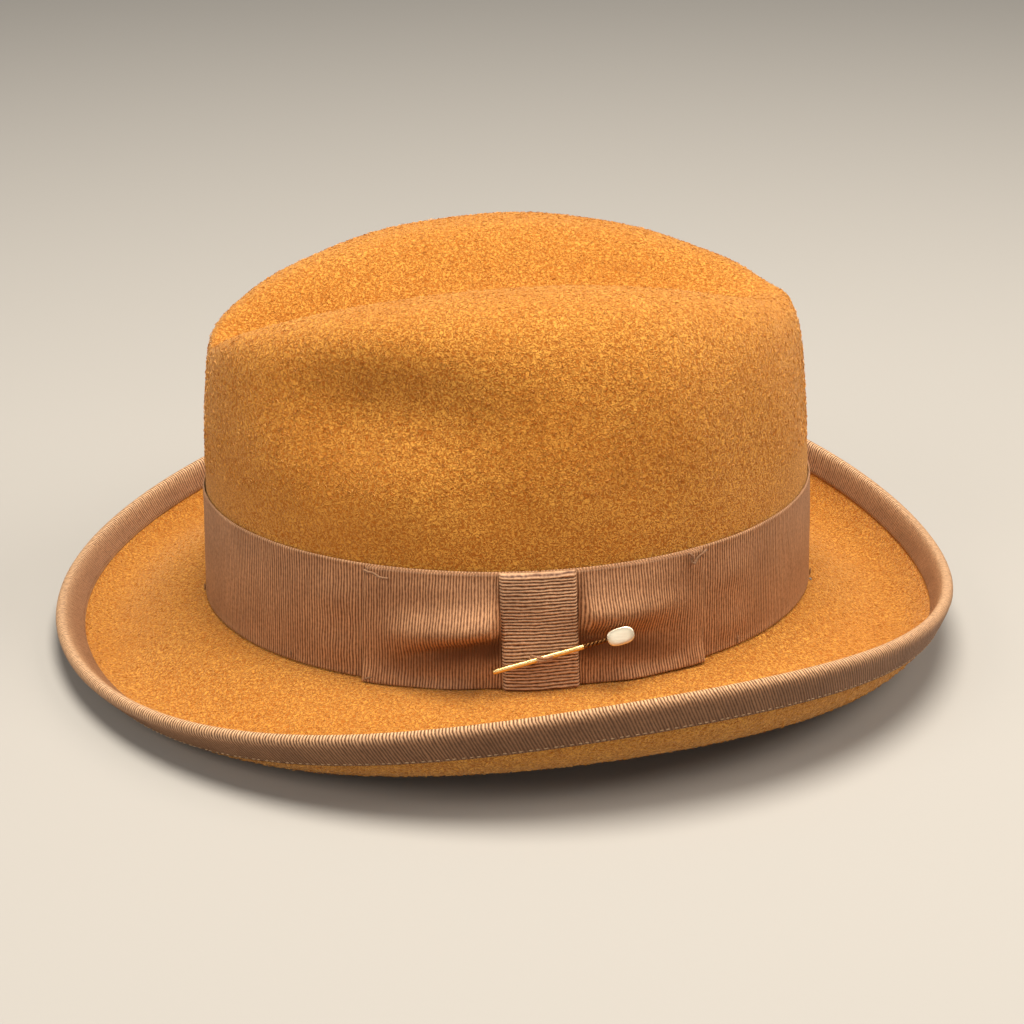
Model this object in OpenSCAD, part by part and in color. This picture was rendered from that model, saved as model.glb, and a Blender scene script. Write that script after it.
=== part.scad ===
// Fedora hat, blocked from one felt hood, with a grosgrain band and bow, a bound brim and a stick pin.
// The front of the hat is at -Y, the wearer's left side, which carries the bow, is at +X, and up is +Z.
// Angles round the hat start at the rear, 0, and pass the bow side at 90 and the front at 180.

/* [Crown] */
// Length of the crown at the brim break, outside the felt
crown_l = 204; // [150:1:250]
// Width of the crown at the brim break, outside the felt
crown_w = 173.6; // [130:0.1:220]
// Height of the two side ridges above the break
ridge_h = 113.5; // [105:0.5:140]
// Height of the crown's front end above the break
front_h = 87; // [78:1:105]
// Height of the crown's rear end above the break
rear_h = 95; // [78:1:110]
// Distance between the two ridges at mid-length
ridge_gap = 81; // [50:1:110]
// How far the top's front end lies inside the foot
front_inset = 3.5; // [0:0.5:20]
// How far the top's rear end lies inside the foot
rear_inset = 8; // [0:0.5:20]
// How far the top of each side leans in
side_lean = 3.7; // [0:0.1:10]
// How far the top of the rear leans in
rear_lean = 5.3; // [0:0.1:10]
// How far the top sits behind the foot
tip_shift = 2; // [0:0.5:6]
// Power of the shoulder's curve, 2 for round and more for square
shoulder = 2.96; // [2.4:0.02:4]
// Depth of the crease below the ridges at mid-length
crease_depth = 20.5; // [8:0.5:26]
// Depth of the crease's ends below the crown's ends
crease_lip = 4; // [1:0.5:8]
// How far the crease's ends lie inside the crown's ends
crease_inset = 28; // [15:1:45]
// Depth of the pinch in each side, near the front
pinch_depth = 5; // [0:0.5:8]
// Height of the pinch above the break
pinch_h = 74; // [70:1:80]
// Thickness of the felt
felt_t = 2.4; // [1.8:0.1:3.2]

/* [Brim] */
// Width of the brim at the rear
brim_rear = 46; // [35:1:70]
// Width of the brim midway between rear and side
brim_rear_quarter = 55; // [35:1:70]
// Width of the brim at the sides
brim_side = 61; // [35:1:75]
// Width of the brim midway between side and front
brim_front_quarter = 57; // [35:1:70]
// Width of the brim at the front
brim_front = 50; // [35:1:70]
// Height of the rim above the front of the break, at the rear
rim_rear = 5; // [-4:0.1:20]
// The same, midway between rear and side
rim_rear_quarter = 15.1; // [0:0.1:30]
// The same, at the sides
rim_side = 20.4; // [8:0.1:34]
// The same, midway between side and front
rim_front_quarter = 2.5; // [-4:0.1:20]
// The same, at the front
rim_front = -3.7; // [-8:0.1:10]
// How much higher the break is at the rear than at the front
break_rise_rear = 1; // [0:0.1:4]
// How much higher the break is at the sides than at the front
break_rise_side = 0.1; // [-1:0.1:4]
// Fall of the brim at the break, in degrees, at the rear
fall_rear = 30; // [5:1:32]
// Fall of the brim at the break, in degrees, at the sides
fall_side = 0; // [-5:1:15]
// Fall of the brim at the break, in degrees, at the front
fall_front = 4; // [-5:1:20]
// Upward turn of the rim, in degrees, at the rear
curl_rear = 66; // [30:1:80]
// Upward turn of the rim, in degrees, at the sides
curl_side = 84; // [40:1:88]
// Upward turn of the rim, in degrees, at the front
curl_front = 41; // [20:1:60]
// Radius of the turn from crown to brim, at the middle of the felt
break_r = 1.5; // [1.3:0.1:2.5]

/* [Ribbons] */
// Thickness of the grosgrain ribbon
ribbon_t = 0.6; // [0.4:0.1:1]
// Width of the band
band_w = 38; // [20:0.5:45]
// Height of the band's lower edge above the break
band_foot = 1.6; // [1.6:0.1:4]
// Width of the binding on the upper face of the brim
bind_top = 8.5; // [5:0.5:12]
// Width of the binding on the lower face of the brim
bind_under = 9; // [5:0.5:12]
// Thickness of the sewing thread
thread_d = 0.5; // [0.3:0.1:0.8]
// Distance of a row of stitches from the ribbon's edge
stitch_inset = 1.4; // [0.8:0.1:3]
// Angle of the bow's middle round the crown
bow_at = 92.5; // [80:0.5:110]
// Length of each bow loop, from the knot's middle to its end
loop_l = 56; // [30:1:70]
// Thickness of a bow loop where it leaves the knot
loop_t = 2.4; // [1.4:0.1:4]
// Width of the knot
knot_w = 23.5; // [12:0.5:32]
// Thickness of the knot
knot_t = 0.9; // [0.5:0.1:2]

/* [Stick pin] */
// Diameter of the pin's shaft
pin_d = 1.4; // [1:0.1:2]
// Length from the tip to the wound collar
shaft_l = 29; // [20:1:45]
// Diameter of the wound collar behind the head
collar_d = 2.2; // [1.6:0.1:3]
// Length of the wound collar
collar_l = 7.5; // [4:0.5:12]
// Length of the oval head
head_l = 8.6; // [5:0.2:14]
// Width of the oval head
head_w = 5.4; // [3:0.2:8]
// Thickness of the oval head
head_t = 2; // [1.2:0.1:4]
// Slope of the pin, rising to the rear, in degrees
pin_slope = 13.3; // [0:0.1:25]
// Distance of the pin's tip in front of the knot's middle line
pin_lead = 15; // [12.5:0.5:22]
// Height of the pin's tip above the break
pin_tip_h = 9.5; // [6:0.5:16]
// Length of the ribbon keeper that holds the shaft
keeper_l = 3; // [2:0.5:6]
// Wall of the ribbon keeper
keeper_wall = 0.5; // [0.4:0.1:1]

/* [Sweatband and lining] */
// Height of the leather sweatband
sweat_w = 52; // [30:1:54]
// Thickness of the leather
sweat_t = 1.1; // [0.8:0.1:1.5]
// Diameter of the reed in the sweatband's lower edge
reed_d = 2; // [1.5:0.1:2.6]
// Room between the lining and the lowest end of the crease
lining_room = 2.6; // [1:0.1:8]
// How far the lining's lower edge is tucked behind the sweatband
lining_tuck = 12; // [6:1:20]
// Thickness of the lining cloth
lining_t = 0.4; // [0.3:0.1:0.8]
// Diameter of the piping round the lining's tip
piping_d = 2.4; // [1.6:0.1:4]
// Sag of the lining's tip at its middle
tip_sag = 3; // [0:0.5:6]
// Length of the small bow at the back of the sweatband
small_bow_l = 22; // [14:1:30]
// Width of the ribbon of the small bow
small_bow_w = 7; // [4:0.5:10]

/* [Hidden] */
clear = 0.3;            // gap between neighbouring soft pieces
loose = 0.6;            // gap where a piece lies along the start of the pinch
turns = 60;             // facets round the hat
step = 360 / turns;
rim_steps = 3;          // facets across the binding
brim_steps = 7;         // facets from the binding to the break
wall_steps = 12;        // facets from the break to a ridge
dish_steps = 5;         // facets from a ridge to the crease
pull_in = 1.47;         // how far the brim keeps its fall, as a share of its width
pull_out = 1.6;         // how far the rim keeps its upward turn, as a share of the brim's width
pinch_at = 118;         // where the pinch is deepest, round the crown
pinch_spread = 26;      // how far the pinch reaches round the crown
pinch_tall = 18;        // how far the pinch reaches up and down
arch_front = 1.15;      // how the ridge rises from the front end: 1 for straight, 2 for round
arch_rear = 2;          // the same from the rear end
tack_l = 3;             // length of a hand stitch
tape_t = 0.3;           // thickness of the reed's tape
tape_h = 8;             // height of the tape's upper edge
swell_run = 8;          // how far beyond the knot a bow loop swells
loop_end = 0.5;         // thickness of a loop at its end, as a share of its thickness at the knot
knot_start = 0.5;       // thickness of a loop beside the knot, as a share of the same
tack_inset = 2;         // distance of the bow's stitches from its ends
tack_foot = 0.5;        // height of the band's stitches above its lower edge
seam_t = 0.6;           // thickness of the leather over the back seam
seam_w = 12;            // width of that leather
seam_low = 11;          // height of its lower end, clear of the reed's tape
seam_short = 2;         // distance of its upper end below the leather's edge
reed_h = 0.3;           // height of the reed's middle
foot_low = -1;          // height of the leather's lower edge, which hides the reed
foot_high = 3;          // height where the leather leaves the reed
close_h = 10;           // height from which the leather lies close to the felt
small_bow_low = 13;     // height of the small bow's lower edge
small_bow_t = 1.2;      // thickness of its loops
small_knot_w = 3;       // width of its knot
small_knot_over = 0.5;  // how far its knot reaches past its loops
half_l = (crown_l - felt_t) / 2;
half_w = (crown_w - felt_t) / 2;
half_gap = ridge_gap / 2;
outer = felt_t / 2;     // outer face of the felt, from the middle of its thickness
reach = [brim_rear, brim_rear_quarter, brim_side, brim_front_quarter, brim_front];
rim = [rim_rear, rim_rear_quarter, rim_side, rim_front_quarter, rim_front];

// Offsets from the middle of the felt: inwards to the lining, leather and reed, outwards to the ribbons
lining_off = -outer - loose - lining_t;
sweat_off = lining_off - clear;
seam_off = sweat_off - sweat_t - loose;
small_bow_off = seam_off - seam_t - clear;
reed_off = -outer - clear - reed_d / 2;
foot_off = reed_off - reed_d / 2 - clear;
band_off = outer + clear;
loop_off = band_off + ribbon_t + clear;
knot_off = loop_off + loop_t / 2 + clear;
pin_off = knot_off + knot_t + clear + keeper_wall + clear + pin_d / 2;

// Heights of the ribbons above the break
band_top = band_foot + band_w;
loop_low = band_foot + knot_t + clear;
loop_top = band_top - knot_t - clear;

// The lining stands clear of the lowest part of the crease
lining_h = min(front_h, rear_h, ridge_h - crease_depth + crease_lip) - crease_lip - felt_t - lining_room;

// Smooth value round the hat through five stations, from the rear to the front
function wave(v, k) = ((v[0] + v[4] * cos(180 * k)) / 2
    + v[1] * cos(45 * k) + v[2] * cos(90 * k) + v[3] * cos(135 * k)) / 2;
function around(a, v) = wave(v, 0) / 2 + wave(v, 1) * cos(a) + wave(v, 2) * cos(2 * a)
    + wave(v, 3) * cos(3 * a) + wave(v, 4) * cos(4 * a) / 2;

// Smooth value through a rear, a side and a front value, or through the two ends alone
function sides(a, rear, side, front) = (rear + front + 2 * side) / 4
    + (rear - front) / 2 * cos(a) + (rear + front - 2 * side) / 4 * cos(2 * a);
function ends(a, rear, front) = (rear + front) / 2 + (rear - front) / 2 * cos(a);

// Plan of the foot, and of anything set off square to it
function out_dir(a) = let (v = [sin(a) / half_w, cos(a) / half_l]) v / norm(v);
function foot(a, off) = [half_w * sin(a), half_l * cos(a)] + off * out_dir(a);
function break_z(a) = sides(a, break_rise_rear, break_rise_side, 0);

// Wall of the crown at a height above the break
function ridge_z(a) = let (end = ends(a, rear_h, front_h))
    end + (ridge_h - end) * pow(abs(sin(a)), ends(a, arch_rear, arch_front));
function bell(x) = exp(-x * x);
function pinch(a, h) = pinch_depth * bell((acos(cos(a)) - pinch_at) / pinch_spread)
    * bell((h - pinch_h) / pinch_tall);
function wall(a, h, off) =
    let (c = pow(max(0, 1 - pow(max(0, h) / ridge_z(a), shoulder)), 1 / shoulder),
        q = h / ridge_h,
        x = (half_gap + (half_w - half_gap) * c) * (1 - side_lean / half_w * q),
        y = (half_l - ends(a, rear_inset, front_inset) * (1 - c))
            * (1 - ends(a, rear_lean, 0) / half_l * q),
        xy = [x * sin(a), y * cos(a) + tip_shift * q] + (off - pinch(a, h)) * out_dir(a))
    [xy[0], xy[1], break_z(a) + h];

// Top of the crown, from a ridge, 0, to the crease, 1
function crease_z(a) = let (mid = ridge_h - crease_depth)
    mid + (ends(a, rear_h, front_h) - crease_lip - mid) * pow(cos(a), 2);
function dish(a, v) =
    let (r = wall(a, ridge_z(a), 0), drop = ridge_z(a) - crease_z(a))
    [r[0] * (1 - v), tip_shift + (r[1] - tip_shift) * (1 - crease_inset / half_l * v),
        r[2] - drop * (1 - cos(180 * v)) / 2];

// Section of the brim, from the break, 0, to the rim, 1: its points, its run and its speed
function fall(a) = -sides(a, fall_rear, fall_side, fall_front);
function curl(a) = sides(a, curl_rear, curl_side, curl_front);
function pulls(a) = let (w = around(a, reach))
    [w * pull_in * [cos(fall(a)), sin(fall(a))], w * pull_out * [cos(curl(a)), sin(curl(a))]];
function section(a, s) =
    let (p0 = [break_r, break_z(a)], p1 = [around(a, reach), around(a, rim)], m = pulls(a))
    (2 * pow(s, 3) - 3 * pow(s, 2) + 1) * p0 + (pow(s, 3) - 2 * pow(s, 2) + s) * m[0]
        + (3 * pow(s, 2) - 2 * pow(s, 3)) * p1 + (pow(s, 3) - pow(s, 2)) * m[1];
function run(a, s) =
    let (p0 = [break_r, break_z(a)], p1 = [around(a, reach), around(a, rim)], m = pulls(a))
    6 * (s - s * s) * (p1 - p0) + (3 * s * s - 4 * s + 1) * m[0] + (3 * s * s - 2 * s) * m[1];

// Point of the brim: off square to its face, and past square to its rim
function brim(a, s, off, past) =
    let (d = run(a, s), t = d / norm(d), p = section(a, s) + off * [-t[1], t[0]] + past * t,
        xy = foot(a, p[0]))
    [xy[0], xy[1], p[1]];

// Place on the section that lies a length back from the rim, found a millimetre at a time
function back(a, length) = length <= 0 ? 1
    : let (part = min(length, 1), s = back(a, length - part)) s - part / norm(run(a, s));

// Middle of the felt as one sheet: down the section from the rim, 0, to the crease
brim_last = rim_steps + brim_steps;
wall_last = brim_last + 1 + wall_steps;
sheet_last = wall_last + dish_steps;
function sheet(a, k) =
    k <= rim_steps ? brim(a, back(a, bind_top * k / rim_steps), 0, 0)
    : k <= brim_last ? brim(a, back(a, bind_top) * (brim_last - k) / brim_steps, 0, 0)
    : k <= brim_last + 1 ? wall(a, break_r * (1 - sqrt(0.5)), break_r * (1 - sqrt(0.5)))
    : k <= wall_last ? wall(a, wall_h(a, k - brim_last - 2), 0)
    : dish(a, (k - wall_last) / dish_steps);
function wall_h(a, k) = k == 0 ? break_r
    : ridge_z(a) * pow(sin(90 * k / (wall_steps - 1)), 2 / shoulder);

// The same sheet as a grid, its square directions and its two faces
grid = [for (k = [0:sheet_last]) [for (i = [0:turns - 1]) sheet(i * step, k)]];
function at(k, i) = k > sheet_last ? grid[sheet_last - 1][(2 * turns - i) % turns]
    : grid[max(k, 0)][(i + turns) % turns];
function square(k, i) =
    let (n = k < sheet_last ? cross(at(k, i + 1) - at(k, i - 1), at(k + 1, i) - at(k - 1, i))
        : let (m = cross(at(k - 1, i + 1) - at(k - 1, i - 1), at(k, i) - at(k - 2, i))) [0, m[1], m[2]])
    -n / norm(n);
function face(k, off) = [for (i = [0:turns - 1])
    k <= rim_steps ? brim(i * step, back(i * step, bind_top * k / rim_steps), off, 0)
    : grid[k][i] + off * square(k, i)];
function crease_row(off) = [for (i = [0:turns / 2]) grid[sheet_last][i] + off * square(sheet_last, i)];

// The hat stands on the lowest points of the brim, with the middle of its length at the origin
stand_z = -min([for (k = [0:brim_last]) for (p = face(k, -outer)) p[2]]);
middle_y = (brim_rear - brim_front) / 2;
module placed() translate([0, -middle_y, stand_z]) children();

// Triangles between two rings, each given as the numbers of its points
function strip(low, high) = [for (i = [0:len(low) - 2])
    each [[low[i], low[i + 1], high[i + 1]], [low[i], high[i + 1], high[i]]]];
function flat(lists) = [for (l = lists) each l];

// Solid through a row of closed sections, whole round the hat or with two ends. The first half of a
// section's points faces the second half, point for point, so that its ends close in pairs.
module loft(sections, whole) {
    n = len(sections[0]);
    m = len(sections);
    last = whole ? m : m - 1;
    skin = flat([for (j = [0:n - 1]) strip([for (i = [0:last]) (i % m) * n + j],
        [for (i = [0:last]) (i % m) * n + (j + 1) % n])]);
    cap = [for (j = [0:n / 2 - 2]) each [[j, j + 1, n - 2 - j], [j, n - 2 - j, n - 1 - j]]];
    far = (m - 1) * n;
    caps = whole ? [] : concat(cap, [for (t = cap) [far + t[2], far + t[1], far + t[0]]]);
    polyhedron(points = flat(sections), faces = concat(skin, caps));
}

// Angles of a piece that ends at two angles, on the facets of the hat between them
function span(from, to) = concat([from],
    [for (i = [floor(from / step) + 1:ceil(to / step) - 1]) i * step], [to]);
all_round = [for (i = [0:turns - 1]) i * step];

// Section of a piece that lies along the wall, as rows of height, inner offset and outer offset
function lying(a, rows) = concat([for (r = rows) wall(a, r[0], r[2])],
    [for (j = [len(rows) - 1:-1:0]) wall(a, rows[j][0], rows[j][1])]);
function levels(from, to, n, inner, thick) =
    [for (j = [0:n]) [from + (to - from) * j / n, inner, inner + thick]];

// Round section of a thread or cord that runs along the wall
cord_sides = 6;
function cord(a, h, off, d) = [for (j = [0:cord_sides - 1]) let (b = -360 * j / cord_sides)
    wall(a, h + d / 2 * sin(b), off - d / 2 * cos(b))];

// Angle that a length of ribbon takes by the side of the crown
function turn(length) = length / (half_l + loop_off) * 180 / PI;

module felt_body() {
    up = [for (k = [0:sheet_last - 1]) face(k, outer)];
    down = [for (k = [sheet_last - 1:-1:0]) face(k, -outer)];
    rings = concat(up, down);
    top = sheet_last - 1;
    crease = len(rings) * turns;
    under_crease = crease + turns / 2 + 1;
    function ring(k) = [for (i = [0:turns]) k * turns + i % turns];
    function seam(first) = [for (i = [0:turns]) first + min(i, turns - i)];
    color("#c98a2f") placed() polyhedron(
        points = concat(flat(rings), crease_row(outer), crease_row(-outer)),
        faces = concat(
            flat([for (k = [0:len(rings) - 2]) if (k != top) strip(ring(k), ring(k + 1))]),
            strip(ring(top), seam(crease)),
            strip(seam(under_crease), ring(top + 1)),
            strip(ring(len(rings) - 1), ring(0))));
}

// The binding folds over the rim, and shares the felt's facets across its legs
module brim_binding() {
    near = outer + clear;
    far = near + ribbon_t;
    over = [for (k = [0:rim_steps]) bind_top * k / rim_steps];
    under = concat(over, bind_under > bind_top ? [bind_under] : []);
    function leg(a, lengths, off, past) =
        [for (l = lengths) brim(a, back(a, l), off, l == 0 ? past : 0)];
    function reversed(v) = [for (j = [len(v) - 1:-1:0]) v[j]];
    color("#a07c5e") placed() loft([for (a = all_round) concat(
        reversed(leg(a, under, -far, clear + ribbon_t)), leg(a, over, far, clear + ribbon_t),
        reversed(leg(a, over, near, clear)), leg(a, under, -near, clear))], true);
}

// Under thread of the seam that holds the binding, along its lower face
module binding_thread() {
    r = thread_d / 2;
    off = -outer - clear - ribbon_t - clear / 2 - r;
    color("#c9b295") placed() loft([for (a = all_round) let (s = back(a, bind_under - stitch_inset))
        [brim(a, s, off, -r), brim(a, s, off - r, 0), brim(a, s, off, r), brim(a, s, off + r, 0)]], true);
}

// The band's ends meet behind the bow
module hat_band() {
    join = turn(clear);
    color("#a07c5e") placed() loft([for (a = span(bow_at + join, bow_at + 360 - join))
        lying(a, levels(band_foot, band_top, 3, band_off, ribbon_t))], false);
}

// A hand stitch that lies on a ribbon, from its foot upwards
module tack(a, h, off) {
    translate(wall(a, h, off + clear / 2 + thread_d / 2)) cylinder(d = thread_d, h = tack_l, $fn = 16);
}

module band_tacks() {
    color("#7d6048") placed() for (a = [14, 52, 140, 180, 220, 270, 316])
        tack(a, band_foot + tack_foot, band_off + ribbon_t);
}

// Bow loops are flat under the knot, swell beside it, and thin out to their ends
knot_turn = turn(knot_w / 2);
knot_edge = turn(knot_w / 2 + clear);
swell_turn = turn(knot_w / 2 + swell_run);
loop_turn = turn(loop_l);
function loop_thick(a) = let (x = abs(a - bow_at))
    x <= swell_turn
    ? loop_t * (knot_start + (1 - knot_start) * max(0, x - knot_edge) / (swell_turn - knot_edge))
    : loop_t * (1 - (1 - loop_end) * (x - swell_turn) / (loop_turn - swell_turn));
module bow_loop(angles) {
    color("#8d6b50") placed() loft([for (a = angles)
        lying(a, levels(loop_low, loop_top, 3, loop_off, loop_thick(a)))], false);
}
module bow_front_loop() bow_loop(concat(span(bow_at + turn(clear) / 2, bow_at + knot_edge),
    span(bow_at + swell_turn, bow_at + loop_turn)));
module bow_rear_loop() bow_loop(concat(span(bow_at - loop_turn, bow_at - swell_turn),
    span(bow_at - knot_edge, bow_at - turn(clear) / 2)));

module bow_tacks() {
    color("#7d6048") placed() for (side = [-1, 1]) for (h = [loop_low, loop_top - tack_l]) {
        a = bow_at + side * (loop_turn - turn(tack_inset));
        tack(a, h, loop_off + loop_thick(a));
    }
}

// The knot wraps the middle of the bow, and its edges turn in behind it
module bow_knot() {
    front = levels(band_foot, band_top, 3, knot_off, knot_t);
    back = levels(loop_low - clear, loop_top + clear, 3, knot_off, knot_t);
    color("#8d6b50") placed() loft([for (a = span(bow_at - knot_turn, bow_at + knot_turn)) concat(
        [wall(a, band_foot, loop_off)], [for (r = front) wall(a, r[0], r[2])], [wall(a, band_top, loop_off)],
        [wall(a, loop_top + clear, loop_off)], [for (j = [3:-1:0]) wall(a, back[j][0], back[j][1])],
        [wall(a, loop_low - clear, loop_off)])], false);
}

// Everything on the pin is placed by its distance from the tip, along the pin
pin_tip = [wall(90, pin_tip_h, pin_off)[0], wall(bow_at, pin_tip_h, knot_off)[1] - pin_lead,
    break_z(90) + pin_tip_h];
module on_pin(along) placed() translate(pin_tip) rotate([pin_slope - 90, 0, 0]) translate([0, 0, along])
    children();

module knot_keeper() {
    bore = pin_d + 2 * clear;
    color("#8d6b50") on_pin(pin_lead + keeper_l / 2) difference() {
        cylinder(d = bore + 2 * keeper_wall, h = keeper_l, center = true, $fn = 32);
        cylinder(d = bore, h = 2 * keeper_l, center = true, $fn = 32);
    }
}

module pin_shaft() {
    point = pin_d;
    color("#d9a93f") on_pin(0) {
        translate([0, 0, point]) cylinder(d = pin_d, h = shaft_l - point, $fn = 32);
        cylinder(d1 = pin_d / 2, d2 = pin_d, h = point, $fn = 32);
    }
}

module pin_collar() {
    color("#9c6b2e") on_pin(shaft_l) cylinder(d = collar_d, h = collar_l, $fn = 32);
}

module pin_head() {
    color("#ead9a0") on_pin(shaft_l + collar_l + head_l / 2) scale([head_t, head_w, head_l])
        sphere(d = 1, $fn = 32);
}

// The leather stands off over the reed at its foot, and lies close to the felt above it
module sweatband() {
    join = turn(clear);
    rows = concat([for (h = [foot_low, foot_high]) [h, foot_off - sweat_t, foot_off]],
        levels(close_h, sweat_w, 3, sweat_off - sweat_t, sweat_t));
    color("#8a5a34") placed() loft([for (a = span(join, 360 - join)) lying(a, rows)], false);
}

module sweatband_seam() {
    color("#8a5a34") placed() loft([for (a = span(-turn(seam_w / 2), turn(seam_w / 2)))
        lying(a, levels(seam_low, sweat_w - seam_short, 3, seam_off - seam_t, seam_t))], false);
}

module sweatband_reed() {
    color("#e8e0cc") placed() loft([for (a = all_round) cord(a, reed_h, reed_off, reed_d)], true);
}

module reed_tape() {
    low = reed_h + reed_d / 2 + clear;
    color("#d8cdb4") placed() loft([for (a = all_round)
        lying(a, levels(low, tape_h, 1, -outer - clear - tape_t, tape_t))], true);
}

module sweatband_thread() {
    off = foot_off - sweat_t - clear / 2 - thread_d / 2;
    color("#6f4526") placed() loft([for (a = all_round) cord(a, stitch_inset, off, thread_d)], true);
}

// Two loops and a thicker knot over the back seam
module sweatband_bow() {
    half = turn(small_bow_l / 2);
    knot = turn(small_knot_w / 2);
    gap = turn(clear);
    high = small_bow_low + small_bow_w;
    function bow_rows(over, thick) =
        levels(small_bow_low - over, high + over, 1, small_bow_off - thick, thick);
    color("#a07c5e") placed() {
        for (ends = [[-half, -knot - gap], [knot + gap, half]])
            loft([for (a = span(ends[0], ends[1])) lying(a, bow_rows(0, small_bow_t))], false);
        loft([for (a = [-knot, knot]) lying(a, bow_rows(small_knot_over, 1.5 * small_bow_t))], false);
    }
}

// The lining's edge is tucked behind the leather, and its wall hangs clear of the pinch above it
hanging_off = lining_off - pinch_depth;
module lining_side() {
    above = sweat_w + 1;
    tucked = levels(sweat_w - lining_tuck, above, 1, lining_off, lining_t);
    free = levels(above + (lining_h - above) / 3, lining_h, 2, hanging_off, lining_t);
    function hanging(a) = [for (r = free) [r[0], r[1] + pinch(a, r[0]), r[2] + pinch(a, r[0])]];
    color("#b08d57") placed() loft([for (a = all_round) lying(a, concat(tucked, hanging(a)))], true);
}

piping_h = lining_h + clear + piping_d / 2;
module lining_piping() {
    color("#b08d57") placed() loft([for (a = all_round)
        cord(a, piping_h, hanging_off + pinch(a, piping_h), piping_d)], true);
}

// Oval tip that hangs from the piping, with a sag at its middle
module lining_tip() {
    shares = [1, 0.8, 0.55, 0.3];
    off = hanging_off - piping_d / 2 - clear;
    function edge(a) = wall(a, piping_h, off + pinch(a, piping_h));
    mid = (edge(0) + edge(180)) / 2;
    function ring(share, drop) = [for (a = all_round) mid + share * (edge(a) - mid)
        - [0, 0, tip_sag * (1 - share * share) + drop]];
    rings = concat([for (s = shares) ring(s, 0)], [for (j = [3:-1:0]) ring(shares[j], lining_t)]);
    middle = mid - [0, 0, tip_sag];
    function nums(k) = [for (i = [0:turns]) k * turns + i % turns];
    hub = len(rings) * turns;
    color("#b08d57") placed() polyhedron(
        points = concat(flat(rings), [middle, middle - [0, 0, lining_t]]),
        faces = concat(
            flat([for (k = [0:6]) if (k != 3) strip(nums(k), nums(k + 1))]),
            strip(nums(7), nums(0)),
            [for (i = [0:turns - 1]) [nums(3)[i], nums(3)[i + 1], hub]],
            [for (i = [0:turns - 1]) [nums(4)[i + 1], nums(4)[i], hub + 1]]));
}

felt_body();
brim_binding();
binding_thread();
hat_band();
band_tacks();
bow_front_loop();
bow_rear_loop();
bow_knot();
knot_keeper();
bow_tacks();
pin_shaft();
pin_collar();
pin_head();
sweatband();
sweatband_seam();
sweatband_reed();
reed_tape();
sweatband_thread();
sweatband_bow();
lining_side();
lining_piping();
lining_tip();
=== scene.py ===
import math

import bmesh
import bpy
import numpy as np
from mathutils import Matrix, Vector


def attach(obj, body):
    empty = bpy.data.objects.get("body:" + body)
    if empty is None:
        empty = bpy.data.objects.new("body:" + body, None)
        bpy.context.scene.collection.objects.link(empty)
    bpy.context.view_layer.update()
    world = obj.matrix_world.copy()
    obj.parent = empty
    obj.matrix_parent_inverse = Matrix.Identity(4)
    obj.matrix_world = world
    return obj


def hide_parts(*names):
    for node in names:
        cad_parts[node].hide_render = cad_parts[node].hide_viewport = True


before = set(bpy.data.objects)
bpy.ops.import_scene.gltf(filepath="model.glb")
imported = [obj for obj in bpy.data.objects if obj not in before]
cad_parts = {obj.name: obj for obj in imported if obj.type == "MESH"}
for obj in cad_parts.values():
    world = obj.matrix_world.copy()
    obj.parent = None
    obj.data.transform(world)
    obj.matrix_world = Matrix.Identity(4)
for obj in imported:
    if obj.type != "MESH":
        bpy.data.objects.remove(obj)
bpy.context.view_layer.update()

# The hat's sizes in millimetres, as the part has them, but with deeper pinches in the front of the crown and
# thinner ribbon. Angles are in degrees round the hat: the rear is 0, the bow side 90 and the front 180.
# Heights are above the break, where the crown meets the brim. DEGREE_L is the crown's run in a degree.
MM = 0.001
FELT = 2.4
OUTER = FELT / 2
HALF_L, HALF_W, HALF_GAP = 100.8, 85.6, 40.5
RIDGE_H, FRONT_H, REAR_H = 113.5, 87.0, 95.0
SIDE_LEAN, REAR_LEAN, TIP_SHIFT = 3.7, 5.3, 2.0
FRONT_INSET, REAR_INSET, CREASE_INSET = 3.5, 8.0, 28.0
CREASE_DEPTH, CREASE_LIP = 20.5, 4.0
SHOULDER = 2.96
PINCH_DEPTH, PINCH_H, PINCH_TALL = 9.5, 84.0, 17.0
PINCH_AT, PINCH_SPREAD = 122.0, 25.0
REACH = (46.0, 55.0, 61.0, 57.0, 50.0)
RIM = (5.0, 15.1, 20.4, 2.5, -3.7)
BREAK_R = 1.5
BREAK_Z = 12.185
MIDDLE_Y = 2.0
BAND_LOW, BAND_W = 1.6, 38.0
BAND_OFF, RIBBON = 1.5, 0.6
CLOTH = 0.42
BIND_TOP, BIND_UNDER = 8.5, 9.0
BOW_AT, LOOP_L, KNOT_W = 92.5, 56.5, 23.5
LOOP_OFF, KNOT_OFF = 2.4, 3.9
LOOP_LOW, LOOP_TOP = 1.5, 39.3
THREAD = 0.5
NAP_WIDTH, NAP_LIFT = 0.12, 0.34
KNOT_PITCH = 1.07
BIND_W = 24.0
SWEAT_W = 52.0
LINING_H, PIPING_H = 78.0, 79.5
GATHERS = 54
DEGREE_L = 1.6


# -------- shape of the hat

def cosd(angle):
    return np.cos(np.radians(angle))


def sind(angle):
    return np.sin(np.radians(angle))


def full_turn(count):
    """Angles that divide a full turn into equal parts."""
    return np.arange(count) * 360 / count


def bell(x):
    return np.exp(-x * x)


def ease(x):
    """Smooth step from 0 to 1."""
    x = np.clip(x, 0, 1)
    return x * x * (3 - 2 * x)


def drift(x, y, reach, seed):
    """Smooth random value, mostly within 1 of zero, that changes over a distance of about reach."""
    rng = np.random.default_rng(seed)
    total = 0
    for heading, phase, stretch in rng.uniform(0, 1, (9, 3)):
        along = x * np.cos(2 * np.pi * heading) + y * np.sin(2 * np.pi * heading)
        total = total + np.cos(2 * np.pi * (along * (0.5 + stretch) / reach + phase))
    return total / 4


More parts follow.
